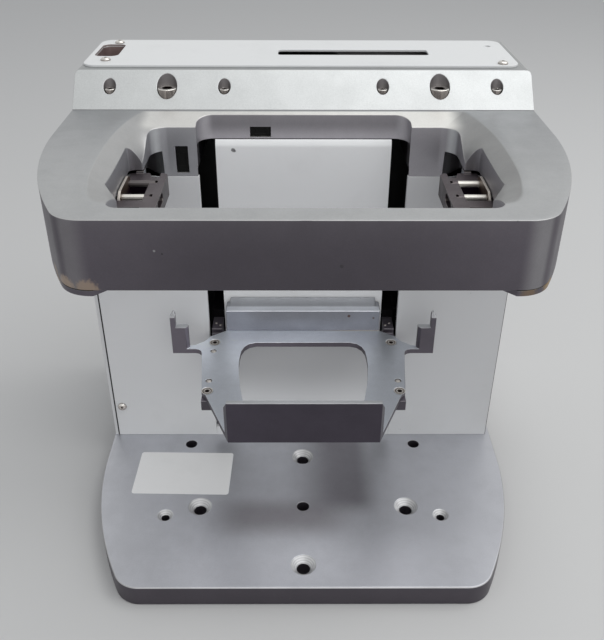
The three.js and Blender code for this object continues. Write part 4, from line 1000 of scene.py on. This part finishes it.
# Top plate: white powder coated sheet on the block, with a slot for a card and a hand hole whose
# well is stained brown.
def plate_tint(tree):
    """White, with a brown stain on the walls of the hand hole."""
    facing = parted(coordinates(tree, "Normal"))
    standing = sloped(maths("ABSOLUTE", facing[2]), 0.6, 0.2)
    wall = masked(standing, in_hand_hole(tree))
    return mixed(wall, grey(0.74, (0.985, 1.0, 0.995)), grey(0.30, (1.1, 0.92, 0.88)))


plate_finish = finish("plate_paint", {"Roughness": 0.3}, powder, 0.0, tones=[("Tint", plate_tint)])
softened("top_plate", plate_finish, rim=0.3)


# Blank label: a thin white film with rounded corners on the base plate, left without print.
def film_ring(half_x, half_y, radius, inset, height):
    """Rounded rectangle at a height: a quarter circle of radius - inset round each corner's centre."""
    corners = [(1, 1, 0.0), (-1, 1, 0.5), (-1, -1, 1.0), (1, -1, 1.5)]
    line = np.concatenate([
        arc(
            (side_x * (half_x - radius), side_y * (half_y - radius)),
            radius - inset,
            turn * math.pi,
            (turn + 0.5) * math.pi,
            8,
        )
        for side_x, side_y, turn in corners
    ])
    return np.concatenate([line, np.full((len(line), 1), height)], axis=1)


label_half_x, label_half_y, label_radius = 28.4, 17.9, 1.6
label_place, label_tilt = (-71.6, -35.4), -1.1
plate_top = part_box("base_plate")[1].z / MM
film = stacked([
    film_ring(label_half_x, label_half_y, label_radius, inset, plate_top + rise)
    for rise, inset in ((-0.1, 0.0), (0.1, 0.0), (0.15, 0.1))
])
spin = np.array(Matrix.Rotation(math.radians(label_tilt), 3, "Z"))
film = film @ spin.T + [*label_place, 0.0]
label_finish = finish(
    "label_film",
    {"Tint": grey(0.93, (1.0, 1.0, 0.985)), "Roughness": 0.28, "Peel": 0.03},
    powder,
    metallic=0.0,
)
surface("blank_label", "stand", label_finish, [in_frame(film)], angle=10.0)


# Screws: bright stainless socket screws, bought in. The profile is turned round the axis, and the
# radius of the socket's wall is r cos 30 / cos((a mod 60) - 30), a hexagon.
def turned_grid(profile, sides=48):
    """Points of a profile of (radius, height, whether it is hexagonal, tone) turned round Z, and
    the tone of each point."""
    angle = np.linspace(0.0, 2.0 * math.pi, sides, endpoint=False)
    corner = math.cos(math.pi / 6) / np.cos(np.mod(angle, math.pi / 3) - math.pi / 6)
    radius, height, hexagonal, tone = (np.array(column, float)[:, None] for column in zip(*profile))
    r = radius * np.where(hexagonal > 0.0, corner, 1.0)
    grid = np.stack([r * np.cos(angle), r * np.sin(angle), height + 0.0 * r], axis=2)
    return grid, (tone + 0.0 * r).ravel()


def dome(middle, foot, across, rise, tone, count):
    """Part of a profile, a quarter ellipse: radius middle + across x cos a, height foot + rise x
    sin a, and a tone that grows with sin a from the given one to 1, a painted highlight towards the top."""
    return [
        (middle + across * cosine, foot + rise * sine, False, tone + (1.0 - tone) * sine)
        for cosine, sine in arc((0.0, 0.0), 1.0, 0.0, math.pi / 2, count)
    ]


def cap_screw(head, head_height, shank, length, socket, depth, rim):
    """Cap screw standing on its seat at height 0: shank, brownish side, bright rounded rim with a
    painted highlight, top and a dark hexagonal socket in painted shade."""
    return (
        [(0.0, -length, False, 0.4), (shank, -length, False, 0.4), (shank, 0.0, False, 0.4)]
        + [(head, 0.0, False, 0.35)]
        + dome(head - rim, head_height - rim, rim, rim, 0.5, 6)
        + [(socket * 1.3, head_height, False, 0.75), (socket * 1.14, head_height, False, 1.0)]
        + [(socket, head_height - 0.15, True, 0.6), (socket, head_height - 0.5, True, 0.05)]
        + [(socket, head_height - depth, True, 0.0), (0.0, head_height - depth - 0.3, False, 0.0)]
    )


def steel_tone(bright):
    """Colour by a turned piece's tone: 0 is dark brown painted shade in a hollow and 1 is bright metal.
    """
    def colour(tree):
        """Mix of the two colours by the attribute kept with the turned piece."""
        own = tree.nodes.new("ShaderNodeAttribute")
        own.attribute_name = "tone"
        return mixed(own.outputs["Fac"], (0.03, 0.014, 0.012, 1.0), bright)
    return colour


steel_finish = finish(
    "bright_steel",
    {"Edge Amount": 0.8, "Roughness": 0.24, "Grain": 0.06, "Bump": 0.02},
    metallic=0.9,
    tones=[
        ("Level", steel_tone(grey(0.80, (1.0, 0.97, 0.92)))),
        ("Standing", steel_tone(grey(0.72, (1.0, 0.92, 0.86)))),
        ("Edge", steel_tone(grey(0.90, (1.0, 0.98, 0.94)))),
    ],
)


def place_screw(node, profile, turn_x=0.0, material=steel_finish):
    """Turned piece in the place of a CAD node: the middles of the two boxes are put together."""
    low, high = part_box(node)
    spin = np.array(Matrix.Rotation(turn_x, 3, "X"))
    grid, tone = turned_grid(profile)
    points = grid @ spin.T * MM
    middle = (np.array(low) + np.array(high)) / 2
    own = (points.reshape(-1, 3).min(0) + points.reshape(-1, 3).max(0)) / 2
    body = frame["nodes"][node]["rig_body"]
    grids = [points - own + middle]
    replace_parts(surface(node + "_finished", body, material, grids, tone=tone), node)


large = cap_screw(
    head=5.0, head_height=6.0, shank=3.0, length=16.0, socket=2.9, depth=3.0, rim=0.5
)
small = cap_screw(
    head=2.75, head_height=3.0, shank=1.5, length=12.0, socket=1.45, depth=1.6, rim=0.35
)
button = [
    (0.0, -8.0, False, 0.4), (1.5, -8.0, False, 0.4), (1.5, 0.0, False, 0.4), (2.75, 0.0, False, 0.3),
    *dome(middle=0.9, foot=0.15, across=1.85, rise=1.35, tone=0.4, count=9),
    (0.75, 1.42, True, 0.6), (0.75, 0.7, True, 0.2), (0.0, 0.6, False, 0.2),
]
for node in ("left_head_bolt", "right_head_bolt"):
    place_screw(node, large)
for number in range(1, 5):
    place_screw(f"band_screw_{number}", small)
for number in range(1, 4):
    place_screw(f"top_plate_screw_{number}", button)
place_screw("left_panel_screw", button, math.pi / 2)


# Stage: tray of folded aluminium sheet with a lip, two wings and two ears, screwed and pinned to
# two arms; behind it a stepped bar that the plate is pushed against. All anodised grey.
def tray_walls(tree):
    """Standing colour of the tray, with painted shade: near black on the lip, a little lighter on its
    left, and lighter on the ears, the left one more.
    """
    x, y, z = place_parts(tree)
    # Painted light: the ears lighter on the left.
    ears = left_to_right(tree, grey(0.17, plum), grey(0.12, plum))
    violet = (1.0, 0.87, 1.14)
    # Painted shade: the lip near black, a little lighter on its left.
    lip = mixed(sloped(x, 0.0, -0.04), grey(0.062, violet), grey(0.074, violet))
    return mixed(sloped(y, -0.075, -0.04), lip, ears)


def tray_top(tree):
    """Lying colour of the tray, with painted light: palest at the rear and to the left, with a bright
    line before the bar's right end. The tops of the lip and the ears are a mid grey."""
    blue = (0.93, 0.98, 1.06)
    x, y, z = place_parts(tree)
    # Painted light: palest at the rear and to the left.
    top = mixed(sloped(y, -0.05, 0.0), grey(0.62, blue), grey(0.95, blue))
    top = mixed(sloped(x, 0.0, 0.05), top, grey(0.60, blue))
    seam = masked(sloped(x, 0.0, 0.035), sloped(y, 0.0076, 0.0079))
    top = mixed(seam, top, grey(1.0, (1.0, 0.96, 0.9)))
    return mixed(sloped(z, 0.105, 0.108), top, grey(0.52, (0.98, 1.0, 1.03)))


tray_finish = finish(
    "tray_anodised",
    {"Edge": grey(0.7, (0.98, 0.99, 1.02)), "Edge Amount": 0.6, "Roughness": 0.38},
    tones=[("Standing", tray_walls), ("Level", tray_top)],
)
softened("stage_tray", tray_finish, rim=0.2)


def on_bar(front, rib):
    """Colour of the bar's front step, polished by the plates, and of the dull rib behind it."""
    def tone(tree):
        """Front colour or rib colour, by the place along Y."""
        behind = sloped(place_parts(tree)[1], 0.0130, 0.0142)
        return mixed(behind, grey(front, (0.95, 0.98, 1.05)), grey(rib, (0.95, 0.98, 1.05)))
    return tone


bar_finish = finish(
    "bar_anodised",
    {
        "Standing": grey(0.29, (0.95, 0.97, 1.08)),
        "Edge Amount": 0.9,
        "Roughness": 0.36,
    },
    # The Edge colour 0.95 on the front step's edges is a painted highlight.
    tones=[("Level", on_bar(0.64, 0.33)), ("Edge", on_bar(0.95, 0.33))],
    spots=[
        ((26.6, 8.5, 103.9), 1.1, (0.10, 0.05, 0.04, 1.0), 0.9),
        ((40.8, 8.5, 102.5), 0.8, (0.10, 0.05, 0.04, 1.0), 0.7),
    ],
)
softened("stage_bar", bar_finish, rim=0.4)
arm_finish = finish(
    "arm_anodised",
    {
        "Level": grey(0.22, plum),
        "Standing": grey(0.10, plum),
        "Edge": grey(0.5),
        "Edge Amount": 0.5,
    },
)
for side in ("left", "right"):
    softened(side + "_stage_arm", arm_finish, rim=0.25)

dull_steel = finish(
    "dull_steel",
    {"Edge Amount": 0.0, "Roughness": 0.4, "Grain": 0.06, "Bump": 0.02},
    metallic=0.5,
    tones=[
        ("Level", steel_tone(grey(0.62, (1.0, 0.95, 0.88)))),
        ("Standing", steel_tone(grey(0.62, (1.0, 0.95, 0.88)))),
    ],
)
# Flat screw: bright head, with painted shade near black in the small groove round its middle and in the
# socket.
flat = [
    (0.0, -7.5, False, 0.3), (1.5, -7.5, False, 0.3), (1.5, -1.5, False, 0.3), (2.85, -0.15, False, 0.6),
    (3.0, 0.0, False, 1.0), (2.5, 0.0, False, 1.0), (2.4, -0.1, False, 0.05), (2.0, -0.1, False, 0.05),
    (1.9, 0.0, False, 0.9), (1.5, 0.0, False, 0.9), (1.25, -0.1, True, 0.1), (1.25, -1.5, True, 0.0),
    (0.0, -1.7, False, 0.0),
]
for number in range(1, 5):
    place_screw(f"tray_screw_{number}", flat, material=dull_steel)
pin = [
    (0.0, -7.0, False, 0.3), (1.5, -7.0, False, 0.3), (1.5, -0.5, False, 0.3),
    *dome(middle=0.0, foot=-0.5, across=1.5, rise=0.5, tone=0.3, count=7),
]
for number in range(1, 4):
    place_screw(f"tray_pin_{number}", pin, material=dull_steel)


# Arm screws: two small button screws on the step of each arm behind the tray hold it to the
# carriage's front. Each is a low dome, r = 0.9 cos a and z = 0.5 sin a, sunk a little at its rim.
stud = [
    (0.0, -0.6, False, 0.2), (0.9, -0.6, False, 0.2),
    *dome(middle=0.0, foot=-0.1, across=0.9, rise=0.5, tone=0.2, count=6),
]
stud_grid, stud_tone = turned_grid(stud, 24)
stud_places = [(x, y, 94.0) for side in (-1, 1) for x, y in ((side * 51.2, 5.2), (side * 48.6, 3.0))]
studs = [in_frame(stud_grid + place) for place in stud_places]
surface("arm_studs", "stage", dull_steel, studs, tone=np.tile(stud_tone, len(studs)))


# Jaws: slotted bars of hardened steel, darkened to a brownish grey. Each slides on two bright
# pins and is pushed by an air cylinder in the ring's lobe.
def jaw_level(tree):
    """Lying colour of a jaw: dark, with a painted highlight on the cheek's rim and the notch black as
    painted shade.
    """
    x, y, z = place_parts(tree)
    # Painted highlight on the cheek's rim, and painted shade in the notch.
    rim = masked(sloped(z, 0.2007, 0.2012), sloped(y, -0.016, -0.018))
    notch = masked(sloped(z, 0.1997, 0.1992), sloped(y, -0.0220, -0.0215))
    top = mixed(notch, grey(0.10, (1.07, 0.90, 0.97)), grey(0.008, plum))
    return mixed(rim, top, grey(0.70, (1.0, 0.93, 0.83)))


def jaw_standing(tree):
    """Standing colour of a jaw: near black in the windows as painted shade, brown on the cheek, and
    as pale as the ring on the shoulder behind."""
    x, y, z = place_parts(tree)
    across = maths("ABSOLUTE", x)
    # Painted shade: the window walls near black.
    windows = within(across, 0.0728, 0.0730, 0.0833, 0.0835)
    cheek = masked(windows, sloped(across, 0.0822, 0.0828), sloped(z, 0.1965, 0.2000))
    wall = mixed(windows, grey(0.075, (1.08, 0.9, 0.96)), (0.022, 0.008, 0.022, 1.0))
    wall = mixed(cheek, wall, (0.16, 0.115, 0.09, 1.0))
    return mixed(sloped(y, -0.0170, -0.0164), wall, grey(0.34, (0.95, 1.0, 1.06)))


jaw_finish = finish(
    "jaw_steel",
    {
        "Edge": grey(0.30, (1.05, 0.96, 0.9)),
        "Edge Amount": 0.6,
        "Roughness": 0.38,
        "Cloud": 0.15,
        "Bump": 0.04,
    },
    metallic=0.8,
    tones=[("Level", jaw_level), ("Standing", jaw_standing)],
)
for side in ("left", "right"):
    softened(side + "_jaw", jaw_finish, rim=0.2)


def bright_between(colour):
    """Bright colour of a guide pin across the jaw's window, and the jaw's brown in its bore."""
    def tone(tree):
        """Bore colour or bright colour, by the distance from the machine's middle."""
        across = maths("ABSOLUTE", place_parts(tree)[0])
        return mixed(sloped(across, 0.0729, 0.0732), grey(0.10, (1.07, 0.90, 0.97)), colour)
    return tone


cream = finish(
    "ground_steel",
    {"Edge Amount": 0.0, "Roughness": 0.34, "Grain": 0.04, "Bump": 0.02},
    metallic=0.6,
    tones=[
        ("Level", bright_between(grey(0.85, (1.0, 0.97, 0.9)))),
        ("Standing", bright_between(grey(0.7, (1.0, 0.95, 0.86)))),
    ],
)


# Inside the tower and the lobes: guide rods, screw, motor, board, valve and cylinders, seen only
# through the slots and openings. The aluminium structure is coloured near black: painted shade.
inside_painted_shade = finish(
    "painted_shade_black",
    {
        "Level": grey(0.006, plum),
        "Standing": grey(0.004, plum),
        "Edge": grey(0.012),
        "Roughness": 0.6,
    },
    metallic=0.0,
    specular=0.1,
)
bronze_finish = finish(
    "bronze",
    {
        "Level": (0.33, 0.2, 0.06, 1.0),
        "Standing": (0.3, 0.18, 0.05, 1.0),
        "Edge": (0.5, 0.34, 0.12, 1.0),
        "Roughness": 0.35,
    },
    metallic=1.0,
)
board_finish = finish(
    "board_green",
    {
        "Level": (0.02, 0.1, 0.05, 1.0),
        "Standing": (0.015, 0.08, 0.04, 1.0),
        "Edge": (0.05, 0.2, 0.1, 1.0),
        "Roughness": 0.4,
    },
    metallic=0.0,
)
# Darker steel for the left rear guide pin only: painted shade.
pin_painted_shade_steel = finish(
    "steel_in_painted_shade",
    {
        "Level": grey(0.13, (1.05, 0.95, 0.95)),
        "Standing": grey(0.09, (1.05, 0.92, 0.92)),
        "Edge Amount": 0.0,
    },
    metallic=0.6,
)
by_slot = {
    # Aluminium inside the tower and lobes is near black: painted shade.
    "anodised": inside_painted_shade,
    "stage_anodised": arm_finish,
    "stainless": cream,
    "tool_steel": jaw_finish,
    "bronze": bronze_finish,
    "black_plastic": sensor_finish,
    "board_green": board_finish,
    "panel_paint": panel_finish,
    "plate_paint": plate_finish,
}
for part in frame["record"]["subparts"]:
    solid = frame["nodes"][part["node"]]
    solid.data.materials.clear()
    solid.data.materials.append(by_slot[part["material_slot"]])
# The left rear guide pin takes the darker steel: painted shade.
frame["nodes"]["left_guide_pin_1"].data.materials[0] = pin_painted_shade_steel


# Connectors at the back: the power inlet and the data port, whose black shells stand in openings
# of the rear cover.
for node in ("power_inlet", "data_port"):
    softened(node, sensor_finish, rim=0.2)

bpy.context.scene.view_settings.view_transform = "Standard"
